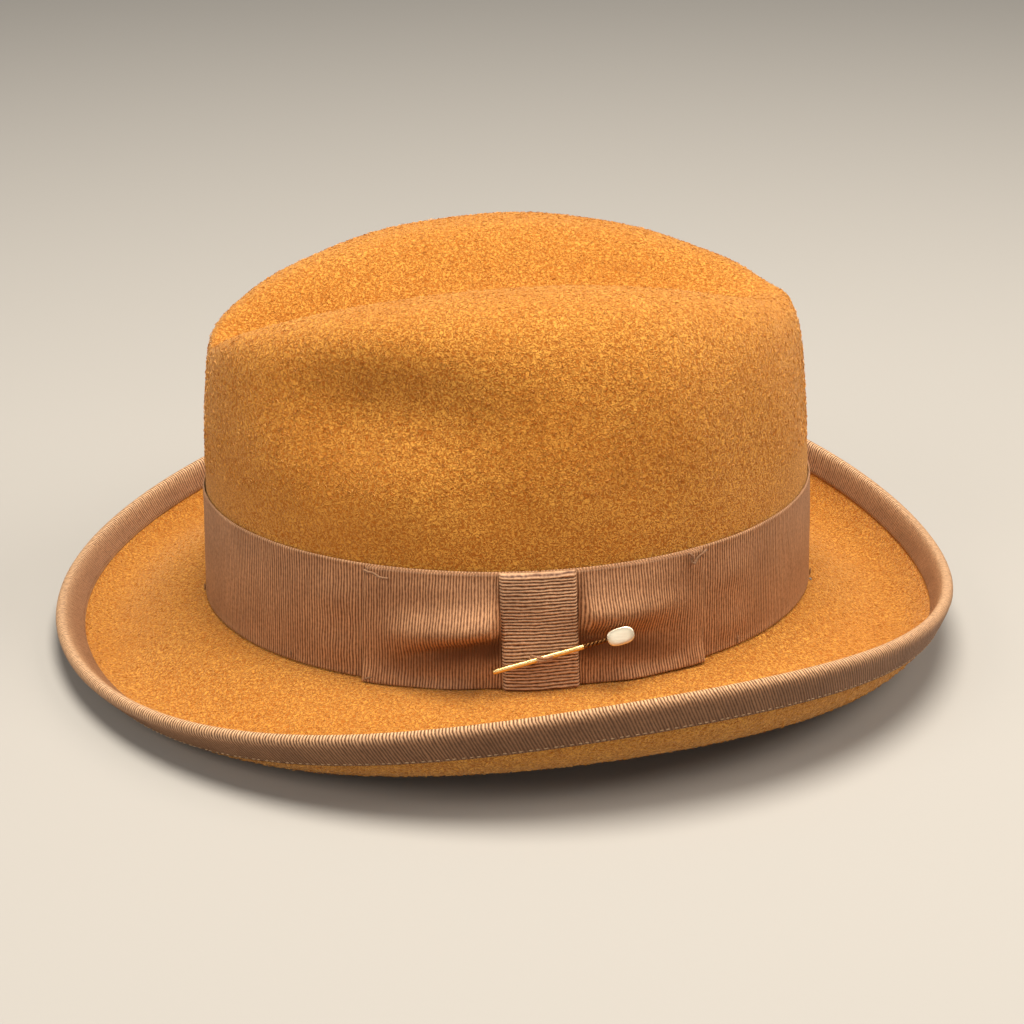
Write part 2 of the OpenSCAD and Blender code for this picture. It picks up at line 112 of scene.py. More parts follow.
def around(a, stations):
    """Smooth value round the hat through five stations from the rear to the front."""
    total = 0
    for k in range(5):
        share = (stations[0] + stations[4] * cosd(180 * k)) / 2 + sum(
            stations[i] * cosd(45 * i * k) for i in (1, 2, 3))
        total = total + share / 2 * cosd(k * a) * (0.5 if k in (0, 4) else 1)
    return total


def sides(a, rear, side, front):
    """Smooth value round the hat, from its values at the rear, the sides and the front."""
    both = rear + front
    return (both + 2 * side) / 4 + (rear - front) / 2 * cosd(a) + (both - 2 * side) / 4 * cosd(2 * a)


def ends(a, rear, front):
    """Smooth value round the hat, from its values at the rear and the front."""
    return (rear + front) / 2 + (rear - front) / 2 * cosd(a)


def out_dir(a):
    """Unit direction in plan, square to the foot of the crown."""
    x, y = sind(a) / HALF_W, cosd(a) / HALF_L
    size = np.hypot(x, y)
    return x / size, y / size


def break_z(a):
    return sides(a, 1.0, 0.1, 0.0)


def ridge_z(a):
    end = ends(a, REAR_H, FRONT_H)
    return end + (RIDGE_H - end) * np.abs(sind(a)) ** ends(a, 2.0, 1.15)


def pinch(a, h):
    side = np.degrees(np.arccos(np.clip(cosd(a), -1, 1)))
    return PINCH_DEPTH * bell((side - PINCH_AT) / PINCH_SPREAD) * bell((h - PINCH_H) / PINCH_TALL)


def handling(a, h):
    """Small unevenness that steam and hands leave in the crown, above the band."""
    rise = ease((h - 44) / 20)
    return 0.55 * rise * drift(a * 1.7, h, 55, 3)


def points(x, y, z):
    """Points in the frame of the whole hat, in millimetres."""
    x, y, z = np.broadcast_arrays(x, y, z)
    return np.stack([x, y + MIDDLE_Y, z + BREAK_Z], axis=-1)


def wall(a, h, off):
    """Points of the crown's wall at heights above the break, off square to the middle of the felt."""
    a, h, off = np.broadcast_arrays(a, h, off)
    c = np.maximum(0, 1 - (np.maximum(0, h) / ridge_z(a)) ** SHOULDER) ** (1 / SHOULDER)
    q = h / RIDGE_H
    x = (HALF_GAP + (HALF_W - HALF_GAP) * c) * (1 - SIDE_LEAN / HALF_W * q)
    y = (HALF_L - ends(a, REAR_INSET, FRONT_INSET) * (1 - c)) * (1 - ends(a, REAR_LEAN, 0) / HALF_L * q)
    dx, dy = out_dir(a)
    push = off - pinch(a, h) + handling(a, h)
    return points(x * sind(a) + push * dx, y * cosd(a) + TIP_SHIFT * q + push * dy, break_z(a) + h)


def dish(a, v):
    """Points of the crown's top, from a ridge at 0 to the crease at 1."""
    ridge = wall(a, ridge_z(a), 0.0)
    middle = RIDGE_H - CREASE_DEPTH
    crease = middle + (ends(a, REAR_H, FRONT_H) - CREASE_LIP - middle) * cosd(a) ** 2
    x = ridge[..., 0] * (1 - v)
    y = TIP_SHIFT + (ridge[..., 1] - MIDDLE_Y - TIP_SHIFT) * (1 - CREASE_INSET / HALF_L * v)
    z = ridge[..., 2] - BREAK_Z - (ridge_z(a) - crease) * (1 - cosd(180 * v)) / 2
    return points(x, y, z)


def section(a, s):
    """Section of the brim from the break, 0, to the rim, 1: its distance out, its height and its run."""
    reach, rim = around(a, REACH), around(a, RIM)
    fall, curl = -sides(a, 30.0, 0.0, 4.0), sides(a, 66.0, 84.0, 41.0)
    start, end = (BREAK_R, break_z(a)), (reach, rim)
    # How far the section keeps to its first slope and to its last, as a share of its reach
    first, last = 1.47 * reach, 1.6 * reach
    leave, arrive = (first * cosd(fall), first * sind(fall)), (last * cosd(curl), last * sind(curl))
    place = [(2 * s**3 - 3 * s**2 + 1) * start[k] + (s**3 - 2 * s**2 + s) * leave[k]
             + (3 * s**2 - 2 * s**3) * end[k] + (s**3 - s**2) * arrive[k] for k in (0, 1)]
    run = [6 * (s - s * s) * (end[k] - start[k]) + (3 * s * s - 4 * s + 1) * leave[k]
           + (3 * s * s - 2 * s) * arrive[k] for k in (0, 1)]
    return place, run


def brim(a, s, off, past=0.0):
    """Points of the brim: off square to its face, and past square to its rim."""
    (r, z), (dr, dz) = section(a, s)
    speed = np.hypot(dr, dz)
    dr, dz = dr / speed, dz / speed
    dx, dy = out_dir(a)
    r = r - off * dz + past * dr
    return points(HALF_W * sind(a) + r * dx, HALF_L * cosd(a) + r * dy, z + off * dr + past * dz)


def back(a, length):
    """Place on the section that lies a length back from the rim."""
    s = np.ones_like(a)
    steps = max(1, math.ceil(length))
    for _ in range(steps):
        run = section(a, s)[1]
        s = s - length / steps / np.hypot(*run)
    return s


def turn(length):
    """Angle that a length of ribbon takes by the side of the crown."""
    return np.degrees(length / (HALF_L + LOOP_OFF))


def unit(vectors):
    return vectors / np.linalg.norm(vectors, axis=1)[:, None]


def upright(a, h, off, facing=1):
    """Places on the crown's wall, with the directions up the wall and away from it."""
    here = wall(a, h, off)
    return here, wall(a, h + 1, off) - here, wall(a, h, off + facing) - here


def two_faces(a, h, outer, inner):
    """Sections of a strip on the crown's wall: along its outer face, and back along its inner face."""
    return np.concatenate([wall(a, h, outer), wall(a, h, inner)[:, ::-1]], axis=1)


def there_and_back(values):
    return np.concatenate([values, values[::-1]])


# -------- making meshes

def add_object(name, data):
    made = bpy.data.objects.new(name, data)
    bpy.context.scene.collection.objects.link(made)
    return made


def mesh_piece(name, verts, faces, material, cloth=None, outward=True):
    """A piece from points in millimetres, without those that no face uses. cloth gives each face corner its
    place in the weave, and outward turns the faces of a closed piece outwards."""
    mesh = bpy.data.meshes.new(name)
    mesh.from_pydata((np.asarray(verts).reshape(-1, 3) * MM).tolist(), [], faces)
    if cloth is not None:
        weave = mesh.attributes.new("cloth", "FLOAT_VECTOR", "CORNER")
        weave.data.foreach_set("vector", np.asarray(cloth, np.float32).ravel())
    work = bmesh.new()
    work.from_mesh(mesh)
    if outward:
        bmesh.ops.recalc_face_normals(work, faces=work.faces)
    bmesh.ops.delete(work, geom=[point for point in work.verts if not point.link_faces], context="VERTS")
    work.to_mesh(mesh)
    work.free()
    mesh.shade_smooth()
    mesh.materials.append(material)
    return add_object(name, mesh)


def bands(number, rows):
    """Faces from each of these rows of points to the next row, all the way round."""
    beside = np.roll(number, -1, axis=1)
    return [face for k in rows
            for face in np.stack([number[k], number[k + 1], beside[k + 1], beside[k]], 1).tolist()]


def loft(name, rings, material, cloth, whole=False):
    """A solid through closed sections, whole or with two ends. At an end, the first half of the section faces
    its second half."""
    m, n = rings.shape[:2]
    last = m if whole else m - 1
    i, j = [index.ravel() for index in np.meshgrid(np.arange(last), np.arange(n), indexing="ij")]
    beside = (j + 1) % n
    rows, columns = np.stack([i, i, i + 1, i + 1], 1), np.stack([j, beside, beside, j], 1)
    faces, corners = (rows % m * n + columns).tolist(), cloth[rows, columns].reshape(-1, 3)
    if not whole:
        k = np.arange(n // 2 - 1)
        near = np.stack([k, k + 1, n - 2 - k, n - 1 - k], 1)
        far = near[:, ::-1]
        faces += near.tolist() + (far + (m - 1) * n).tolist()
        corners = np.concatenate([corners, cloth[0][near].reshape(-1, 3), cloth[m - 1][far].reshape(-1, 3)])
    return mesh_piece(name, rings, faces, material, corners)


def weave_of(along, across, crest=0.0):
    """Places in the weave: along the ribbon, across it, and the height of the modelled rib."""
    along, across, crest = np.broadcast_arrays(along, across, crest)
    return np.stack([along, across, crest], axis=-1)


def edge_rows(low, high, count):
    """Heights across a ribbon, close together at its two selvedges."""
    inner = np.linspace(low + 1.4, high - 1.4, count)
    return np.concatenate([[low, low + 0.1, low + 0.35, low + 0.8], inner,
                           [high - 0.8, high - 0.35, high - 0.1, high]])


def rounded(rows):
    """Share of a ribbon's thickness at each row: thin at the very edge, a little fat in the selvedge."""
    inset = np.minimum(rows - rows[0], rows[-1] - rows)
    return np.sqrt(1 - (1 - np.clip(inset / 0.35, 0.03, 1)) ** 2) + 0.25 * bell((inset - 0.7) / 0.45)


def ribbon_on_wall(name, angles, rows, inner, thick, material):
    """A ribbon with two ends that lies along the crown, its inner face at this offset."""
    rings = two_faces(angles[:, None], rows, inner + thick * rounded(rows), inner)
    length = np.radians(angles - angles[0]) * (HALF_L + HALF_W) / 2
    return loft(name, rings, material, weave_of(length[:, None], there_and_back(rows - rows[0])))


def solid_copy(piece):
    """The piece with its modifiers applied, as a plain mesh."""
    bpy.context.view_layer.update()
    made = bpy.data.meshes.new_from_object(piece.evaluated_get(bpy.context.evaluated_depsgraph_get()))
    piece.modifiers.clear()
    piece.data = made
    return piece


# -------- repeated stitches and fibres

def node(tree, kind, inputs=None, **settings):
    """Adds a node, sets its properties, and gives its inputs a value or a link."""
    made = tree.nodes.new(kind)
    for name, value in settings.items():
        setattr(made, name, value)
    for name, value in (inputs or {}).items():
        if isinstance(value, bpy.types.NodeSocket):
            tree.links.new(value, made.inputs[name])
        else:
            made.inputs[name].default_value = value
    return made


def new_tree(name, sizes, materials):
    """An empty geometry tree with a mesh in and out, named sizes and named materials."""
    tree = bpy.data.node_groups.new(name, "GeometryNodeTree")
    sockets = [("Geometry", "INPUT", "Geometry"), *[(size, "INPUT", "Float") for size in sizes],
               *[(title, "INPUT", "Material") for title in materials], ("Geometry", "OUTPUT", "Geometry")]
    for title, way, kind in sockets:
        tree.interface.new_socket(title, in_out=way, socket_type="NodeSocket" + kind)
    return tree, node(tree, "NodeGroupInput").outputs


def grow(piece, tree, values):
    """Runs a geometry tree on a piece with these inputs, and keeps the result as its mesh."""
    modifier = piece.modifiers.new(tree.name, "NODES")
    modifier.node_group = tree
    for item in tree.interface.items_tree:
        if item.in_out == "INPUT" and item.name in values:
            modifier[item.identifier] = values[item.name]
    return solid_copy(piece)


def stitch_tree():
    """One rounded stitch on each point, laid along the point's own direction."""
    tree, given = new_tree("stitch_row", ["Length", "Width", "Height"], ["Thread"])
    grain = node(tree, "GeometryNodeMeshUVSphere", {"Segments": 8, "Rings": 5, "Radius": 0.5})
    size = node(tree, "ShaderNodeCombineXYZ", {0: given["Length"], 1: given["Width"], 2: given["Height"]})
    along = node(tree, "GeometryNodeInputNamedAttribute", {"Name": "along"}, data_type="FLOAT_VECTOR")
    out = node(tree, "GeometryNodeInputNamedAttribute", {"Name": "out"}, data_type="FLOAT_VECTOR")
    lie = node(tree, "FunctionNodeAxesToRotation", {0: out.outputs[0], 1: along.outputs[0]},
               primary_axis="Z", secondary_axis="X")
    spots = node(tree, "GeometryNodeMeshToPoints", {"Mesh": given["Geometry"]})
    placed = node(tree, "GeometryNodeInstanceOnPoints", {
        "Points": spots.outputs[0], "Instance": grain.outputs[0], "Rotation": lie.outputs[0],
        "Scale": size.outputs[0]})
    real = node(tree, "GeometryNodeRealizeInstances", {"Geometry": placed.outputs[0]})
    soft = node(tree, "GeometryNodeSetShadeSmooth", {"Geometry": real.outputs[0]})
    coloured = node(tree, "GeometryNodeSetMaterial", {"Geometry": soft.outputs[0], "Material": given["Thread"]})
    node(tree, "NodeGroupOutput", {"Geometry": coloured.outputs[0]})
    return tree


def stitches(name, frames, length, material, slot, *nodes, width=THREAD, height=THREAD):
    """Stitches at places in millimetres, each lying along its first direction and facing its second."""
    places, *directions = frames
    mesh = bpy.data.meshes.new(name)
    mesh.from_pydata((places * MM).tolist(), [], [])
    for title, vectors in zip(("along", "out"), directions):
        attribute = mesh.attributes.new(title, "FLOAT_VECTOR", "POINT")
        attribute.data.foreach_set("vector", np.asarray(vectors, np.float32).ravel())
    piece = grow(add_object(name, mesh), STITCH_ROW, {
        "Length": length * MM, "Width": width * MM, "Height": height * MM, "Thread": material})
    finish_piece(piece, slot, *nodes)


def row_frames(place, angles):
    """Places on a path round the hat, with the directions along it and away from the felt.
    place gives a point for an angle and an extra offset."""
    here, beside = place(angles, 0.0), 0.2
    along = place(angles + beside, 0.0) - place(angles - beside, 0.0)
    return here, unit(along), unit(place(angles, 1.0) - here)


def nap_tree(tints):
    """Short curled fibres scattered over a face, a share of them in each tint."""
    tree, given = new_tree("felt_nap", ["Density", "Length", "Width", "Lift"], tints)
    reach = node(tree, "ShaderNodeCombineXYZ", {0: given["Length"], 1: given["Length"], 2: given["Lift"]})
    across = node(tree, "ShaderNodeCombineXYZ", {1: given["Width"]})
    flat = node(tree, "GeometryNodeCurvePrimitiveLine", {"Start": (0, 0, 0), "End": across.outputs[0]})
    middle = node(tree, "ShaderNodeVectorMath", {0: reach.outputs[0], 1: (0.7, 0, 1)}, operation="MULTIPLY")
    joined = node(tree, "GeometryNodeJoinGeometry")
    for seed, tint in enumerate(tints):
        spots = node(tree, "GeometryNodeDistributePointsOnFaces", {
            "Mesh": given["Geometry"], "Density": given["Density"], "Seed": seed + 11})
        bend = -0.62 if seed % 2 else 0.62
        tip = node(tree, "ShaderNodeVectorMath", {0: reach.outputs[0], 1: (0.55, bend, 0.35)},
                   operation="MULTIPLY")
        curl = node(tree, "GeometryNodeCurveQuadraticBezier", {
            "Resolution": 3, "Start": (0, 0, 0), "Middle": middle.outputs[0], "End": tip.outputs[0]})
        strand = node(tree, "GeometryNodeCurveToMesh", {
            "Curve": curl.outputs[0], "Profile Curve": flat.outputs[0]})
        spin = node(tree, "FunctionNodeRandomValue", {
            "Seed": seed + 31, "Min": (-0.2, -0.16, 0), "Max": (0.2, 0.1, 2 * math.pi)},
            data_type="FLOAT_VECTOR")
        turned = node(tree, "FunctionNodeRotateRotation", {
            "Rotation": spots.outputs["Rotation"], "Rotate By": spin.outputs[0]}, rotation_space="LOCAL")
        grown = node(tree, "FunctionNodeRandomValue", {"Seed": seed + 51, 2: 0.6, 3: 1.35}, data_type="FLOAT")
        placed = node(tree, "GeometryNodeInstanceOnPoints", {
            "Points": spots.outputs["Points"], "Instance": strand.outputs[0],
            "Rotation": turned.outputs[0], "Scale": grown.outputs[1]})
        real = node(tree, "GeometryNodeRealizeInstances", {"Geometry": placed.outputs[0]})
        coloured = node(tree, "GeometryNodeSetMaterial", {"Geometry": real.outputs[0], "Material": given[tint]})
        tree.links.new(coloured.outputs[0], joined.inputs[0])
    node(tree, "NodeGroupOutput", {"Geometry": joined.outputs[0]})
    return tree


STITCH_ROW = stitch_tree()


# -------- materials

def srgb(code):
    """Linear colour of an sRGB hex value."""
    parts = [int(code[i:i + 2], 16) / 255 for i in (1, 3, 5)]
    return (*[c / 12.92 if c <= 0.04045 else ((c + 0.055) / 1.055) ** 2.4 for c in parts], 1.0)


def new_material(name, **surface):
    """A material with one principled shader, whose sockets take the values given."""
    material = bpy.data.materials.new(name)
    material.use_nodes = True
    tree = material.node_tree
    shader = tree.nodes["Principled BSDF"]
    for socket, value in surface.items():
        shader.inputs[socket.replace("_", " ")].default_value = value
    return material, tree, shader


def fur_felt():
    """Fur felt, brushed to a short nap: its curled fibre ends catch the light and leave dark gaps between."""
    material, tree, shader = new_material("brushed_fur_felt", Roughness=0.95, Specular_IOR_Level=0.15,
                                          Sheen_Weight=0.42, Sheen_Roughness=0.45, Sheen_Tint=srgb("#ffd9a8"))
    place = node(tree, "ShaderNodeTexCoord").outputs["Object"]
    # Curls are about 1 mm long and 0.4 mm wide
    swirl = node(tree, "ShaderNodeTexNoise", {"Vector": place, "Scale": 700.0, "Detail": 1.0})
    shift = node(tree, "ShaderNodeVectorMath", {0: swirl.outputs["Color"], 1: (0.5, 0.5, 0.5)},
                 operation="SUBTRACT")
    bent = node(tree, "ShaderNodeVectorMath", {0: shift.outputs[0], 1: (0.0022,) * 3}, operation="MULTIPLY")
    curled = node(tree, "ShaderNodeVectorMath", {0: place, 1: bent.outputs[0]}, operation="ADD")
    curls = node(tree, "ShaderNodeTexNoise", {
        "Vector": curled.outputs[0], "Scale": 1400.0, "Detail": 2.0, "Roughness": 0.55})
    crest = node(tree, "ShaderNodeMapRange", {
        "Value": curls.outputs["Fac"], "From Min": 0.36, "From Max": 0.66}, interpolation_type="SMOOTHSTEP")
    fluff = node(tree, "ShaderNodeTexNoise", {"Vector": place, "Scale": 1900.0, "Detail": 2.0})
    stain = node(tree, "ShaderNodeTexNoise", {"Vector": place, "Scale": 28.0, "Detail": 3.0})
    ground = node(tree, "ShaderNodeMix", {
        "Factor": crest.outputs[0], 6: srgb("#a05d1b"), 7: srgb("#d59842")}, data_type="RGBA")
    wear_and_painted_light = node(tree, "ShaderNodeMapRange", {
        "Value": stain.outputs["Fac"], "From Min": 0.35, "From Max": 0.7, "To Max": 0.35})
    tone = node(tree, "ShaderNodeMix", {
        "Factor": wear_and_painted_light.outputs[0], 6: ground.outputs[2], 7: srgb("#b26c1e")}, data_type="RGBA")
    tree.links.new(tone.outputs[2], shader.inputs["Base Color"])
    height = node(tree, "ShaderNodeMath", {0: crest.outputs[0], 1: fluff.outputs["Fac"]}, operation="ADD")
    bump = node(tree, "ShaderNodeBump", {"Height": height.outputs[0], "Distance": 0.00026, "Strength": 0.85})
    tree.links.new(bump.outputs[0], shader.inputs["Normal"])
    return material


def fibre(name, code):
    """One fur fibre: a plain, soft, matt strand."""
    material, _, shader = new_material(name, Roughness=0.8, Specular_IOR_Level=0.15)
    shader.inputs["Base Color"].default_value = srgb(code)
    shader.inputs["Sheen Weight"].default_value = 0.12
    return material


def grosgrain(name, crest_code, gap_code, pale_code, width, pitch, modelled=False):
    """Viscose grosgrain, woven in heavy crosswise ribs: bright crests, dark furrows and firm edges. The third
    value of its weave is painted light: above zero a painted highlight pales the crests, below zero painted
    shade darkens the cloth. Where the ribs are modelled, that value is the height of the rib."""
    material, tree, shader = new_material(name, Roughness=0.6, Specular_IOR_Level=0.35,
                                          Sheen_Weight=0.15, Sheen_Roughness=0.35, Sheen_Tint=srgb("#f0c090"))
    cloth = node(tree, "ShaderNodeAttribute", attribute_name="cloth").outputs["Vector"]
    part = node(tree, "ShaderNodeSeparateXYZ", {0: cloth})
    # The ribs wander by a fifth of a millimetre over a centimetre or so
    slow = node(tree, "ShaderNodeVectorMath", {0: cloth, 1: (0.5, 0.12, 0.0)}, operation="MULTIPLY")
    wander = node(tree, "ShaderNodeTexNoise", {"Vector": slow.outputs[0], "Scale": 1.0, "Detail": 2.0})
    moved = node(tree, "ShaderNodeMath", {0: wander.outputs["Fac"], 1: 0.9, 2: part.outputs[0]},
                 operation="MULTIPLY_ADD")
    phase = node(tree, "ShaderNodeMath", {0: moved.outputs[0], 1: 2 * math.pi / pitch}, operation="MULTIPLY")
    wave = node(tree, "ShaderNodeMath", {0: phase.outputs[0]}, operation="SINE")
    share = node(tree, "ShaderNodeMapRange", {"Value": wave.outputs[0], "From Min": -1.0, "To Min": 0.0})
    rib = node(tree, "ShaderNodeMath", {0: share.outputs[0], 1: 0.7}, operation="POWER")
    crest = part.outputs[2] if modelled else rib.outputs[0]
    # No two ribs are alike: yarns swell over about a millimetre of each rib
    fine = node(tree, "ShaderNodeVectorMath", {0: cloth, 1: (1.1, 0.8, 0.0)}, operation="MULTIPLY")
    yarn = node(tree, "ShaderNodeTexNoise", {"Vector": fine.outputs[0], "Scale": 1.0, "Detail": 3.0})
    broad = node(tree, "ShaderNodeTexNoise", {"Vector": cloth, "Scale": 0.07, "Detail": 2.0})
    lit = node(tree, "ShaderNodeMath", {0: yarn.outputs["Fac"], 1: 1.1, 2: -0.55}, operation="MULTIPLY_ADD")
    mixed = node(tree, "ShaderNodeMath", {0: crest, 1: lit.outputs[0]}, operation="ADD", use_clamp=True)
    # Above zero the third value pales the crest colour, a painted highlight; on modelled ribs it pales the
    # taller crests
    pale_crest_and_highlight = node(tree, "ShaderNodeMix", {
        "Factor": part.outputs[2], 6: srgb(crest_code), 7: srgb(pale_code)}, data_type="RGBA")
    base = node(tree, "ShaderNodeMix", {
        "Factor": mixed.outputs[0], 6: srgb(gap_code), 7: pale_crest_and_highlight.outputs[2]}, data_type="RGBA")
    far = node(tree, "ShaderNodeMath", {0: width, 1: part.outputs[1]}, operation="SUBTRACT")
    inset = node(tree, "ShaderNodeMath", {0: part.outputs[1], 1: far.outputs[0]}, operation="MINIMUM")
    edge = node(tree, "ShaderNodeMapRange", {
        "Value": inset.outputs[0], "From Min": 0.25, "From Max": 0.8, "To Min": 0.3, "To Max": 0.0},
        interpolation_type="SMOOTHSTEP")
    edged = node(tree, "ShaderNodeMix", {
        "Factor": edge.outputs[0], 6: base.outputs[2], 7: srgb(pale_code)}, data_type="RGBA")
    fade = node(tree, "ShaderNodeMapRange", {
        "Value": broad.outputs["Fac"], "From Min": 0.35, "From Max": 0.7, "To Min": 0.0, "To Max": 0.25})
    # Painted shade: below zero the third value darkens the cloth towards the furrow colour, added to a broad
    # random fade
    coloured = fade
    if not modelled:
        coloured = node(tree, "ShaderNodeMath", {0: part.outputs[2], 1: -1.0, 2: fade.outputs[0]},
                    operation="MULTIPLY_ADD", use_clamp=True)
    tone = node(tree, "ShaderNodeMix", {
        "Factor": coloured.outputs[0], 6: edged.outputs[2], 7: srgb(gap_code)}, data_type="RGBA")
    tree.links.new(tone.outputs[2], shader.inputs["Base Color"])
    raised = node(tree, "ShaderNodeMath", {
        0: yarn.outputs["Fac"], 1: 0.5, 2: 0.0 if modelled else rib.outputs[0]}, operation="MULTIPLY_ADD")
    bump = node(tree, "ShaderNodeBump", {"Height": raised.outputs[0], "Distance": 0.00028, "Strength": 0.9})
    tree.links.new(bump.outputs[0], shader.inputs["Normal"])
    return material


def sewing_thread(name, code, dark_code):
    """Spun thread: two plies, so its colour darkens between them every half millimetre."""
    material, tree, shader = new_material(name, Roughness=0.7, Specular_IOR_Level=0.3, Sheen_Weight=0.2)
    place = node(tree, "ShaderNodeTexCoord").outputs["Object"]
    plies = node(tree, "ShaderNodeTexNoise", {"Vector": place, "Scale": 2200.0, "Detail": 1.0})
    tone = node(tree, "ShaderNodeMix", {
        "Factor": plies.outputs["Fac"], 6: srgb(dark_code), 7: srgb(code)}, data_type="RGBA")
    tree.links.new(tone.outputs[2], shader.inputs["Base Color"])
    bump = node(tree, "ShaderNodeBump", {"Height": plies.outputs["Fac"], "Distance": 0.0001, "Strength": 0.7})
    tree.links.new(bump.outputs[0], shader.inputs["Normal"])
    return material


def metal(name, code, worn_code, rough):
    """Gilt brass, drawn and hand polished: soft scratches, and tarnish that dulls it in patches."""
    material, tree, shader = new_material(name, Metallic=1.0)
    place = node(tree, "ShaderNodeTexCoord").outputs["Object"]
    long = node(tree, "ShaderNodeVectorMath", {0: place, 1: (1.0, 0.05, 1.0)}, operation="MULTIPLY")
    lines = node(tree, "ShaderNodeTexNoise", {"Vector": long.outputs[0], "Scale": 2500.0, "Detail": 3.0})
    tarnish = node(tree, "ShaderNodeTexNoise", {"Vector": place, "Scale": 240.0, "Detail": 2.0})
    dull = node(tree, "ShaderNodeMapRange", {
        "Value": tarnish.outputs["Fac"], "From Min": 0.45, "From Max": 0.75, "To Max": 0.4})
    tone = node(tree, "ShaderNodeMix", {
        "Factor": dull.outputs[0], 6: srgb(code), 7: srgb(worn_code)}, data_type="RGBA")
    tree.links.new(tone.outputs[2], shader.inputs["Base Color"])
    gloss = node(tree, "ShaderNodeMapRange", {
        "Value": lines.outputs["Fac"], "From Min": 0.3, "From Max": 0.7,
        "To Min": rough, "To Max": rough + 0.08})
    tree.links.new(gloss.outputs[0], shader.inputs["Roughness"])
    bump = node(tree, "ShaderNodeBump", {
        "Height": lines.outputs["Fac"], "Distance": 0.00001, "Strength": 0.1})
    tree.links.new(bump.outputs[0], shader.inputs["Normal"])
    return material


def sheep_leather(name, code, dark_code):
    """Vegetable-tanned sheepskin, plated smooth: fine pebbled grain, faint pores, darker handled patches."""
    material, tree, shader = new_material(name, Roughness=0.42, Specular_IOR_Level=0.45)
    place = node(tree, "ShaderNodeTexCoord").outputs["Object"]
    grain = node(tree, "ShaderNodeTexVoronoi", {"Vector": place, "Scale": 900.0}, feature="SMOOTH_F1")
    pores = node(tree, "ShaderNodeTexNoise", {"Vector": place, "Scale": 1500.0, "Detail": 2.0})
    patches = node(tree, "ShaderNodeTexNoise", {"Vector": place, "Scale": 30.0, "Detail": 4.0})
    wear_and_painted_light = node(tree, "ShaderNodeMapRange", {
        "Value": patches.outputs["Fac"], "From Min": 0.3, "From Max": 0.7})
    tone = node(tree, "ShaderNodeMix", {
        "Factor": wear_and_painted_light.outputs[0], 6: srgb(dark_code), 7: srgb(code)}, data_type="RGBA")
    speck = node(tree, "ShaderNodeMapRange", {
        "Value": grain.outputs["Distance"], "From Max": 0.6, "To Min": 0.0, "To Max": 0.3})
    spotted = node(tree, "ShaderNodeMix", {
        "Factor": speck.outputs[0], 6: tone.outputs[2], 7: srgb(dark_code)}, data_type="RGBA")
    tree.links.new(spotted.outputs[2], shader.inputs["Base Color"])
    height = node(tree, "ShaderNodeMath", {0: pores.outputs["Fac"], 1: 0.4, 2: grain.outputs["Distance"]},
                  operation="MULTIPLY_ADD")
    bump = node(tree, "ShaderNodeBump", {"Height": height.outputs[0], "Distance": 0.00012, "Strength": 0.6})
    tree.links.new(bump.outputs[0], shader.inputs["Normal"])
    return material


def satin(name, code, shade_code):
    """Rayon satin: long floating threads, smooth and bright one way, with a faint fine line."""
    material, tree, shader = new_material(name, Roughness=0.38, Specular_IOR_Level=0.6, Sheen_Weight=0.3)
    cloth = node(tree, "ShaderNodeAttribute", attribute_name="cloth").outputs["Vector"]
    # Threads show every 0.4 mm
    long = node(tree, "ShaderNodeVectorMath", {0: cloth, 1: (2.5, 0.2, 0.0)}, operation="MULTIPLY")
    threads = node(tree, "ShaderNodeTexNoise", {"Vector": long.outputs[0], "Scale": 1.0, "Detail": 3.0})
    place = node(tree, "ShaderNodeTexCoord").outputs["Object"]
    folds = node(tree, "ShaderNodeTexNoise", {"Vector": place, "Scale": 60.0, "Detail": 2.0})
    tone = node(tree, "ShaderNodeMix", {
        "Factor": folds.outputs["Fac"], 6: srgb(shade_code), 7: srgb(code)}, data_type="RGBA")
    lined = node(tree, "ShaderNodeMapRange", {
        "Value": threads.outputs["Fac"], "From Min": 0.3, "From Max": 0.7, "To Max": 0.3})
    woven = node(tree, "ShaderNodeMix", {
        "Factor": lined.outputs[0], 6: tone.outputs[2], 7: srgb(shade_code)}, data_type="RGBA")
    tree.links.new(woven.outputs[2], shader.inputs["Base Color"])
    height = node(tree, "ShaderNodeMath", {0: folds.outputs["Fac"], 1: 3.0, 2: threads.outputs["Fac"]},
                  operation="MULTIPLY_ADD")
    bump = node(tree, "ShaderNodeBump", {"Height": height.outputs[0], "Distance": 0.00015, "Strength": 0.6})
    tree.links.new(bump.outputs[0], shader.inputs["Normal"])
    return material


def plain_weave(name, code, dark_code):
    """Cotton tape and cane fibre: matt, with an open square weave of threads under a millimetre apart."""
    material, tree, shader = new_material(name, Roughness=0.85, Specular_IOR_Level=0.2)
    place = node(tree, "ShaderNodeTexCoord").outputs["Object"]
    weave = node(tree, "ShaderNodeTexVoronoi", {"Vector": place, "Scale": 1500.0}, distance="CHEBYCHEV")
    tone = node(tree, "ShaderNodeMix", {
        "Factor": weave.outputs["Distance"], 6: srgb(code), 7: srgb(dark_code)}, data_type="RGBA")
    tree.links.new(tone.outputs[2], shader.inputs["Base Color"])
    bump = node(tree, "ShaderNodeBump", {
        "Height": weave.outputs["Distance"], "Distance": 0.0002, "Strength": 0.6}, invert=True)
    tree.links.new(bump.outputs[0], shader.inputs["Normal"])
    return material


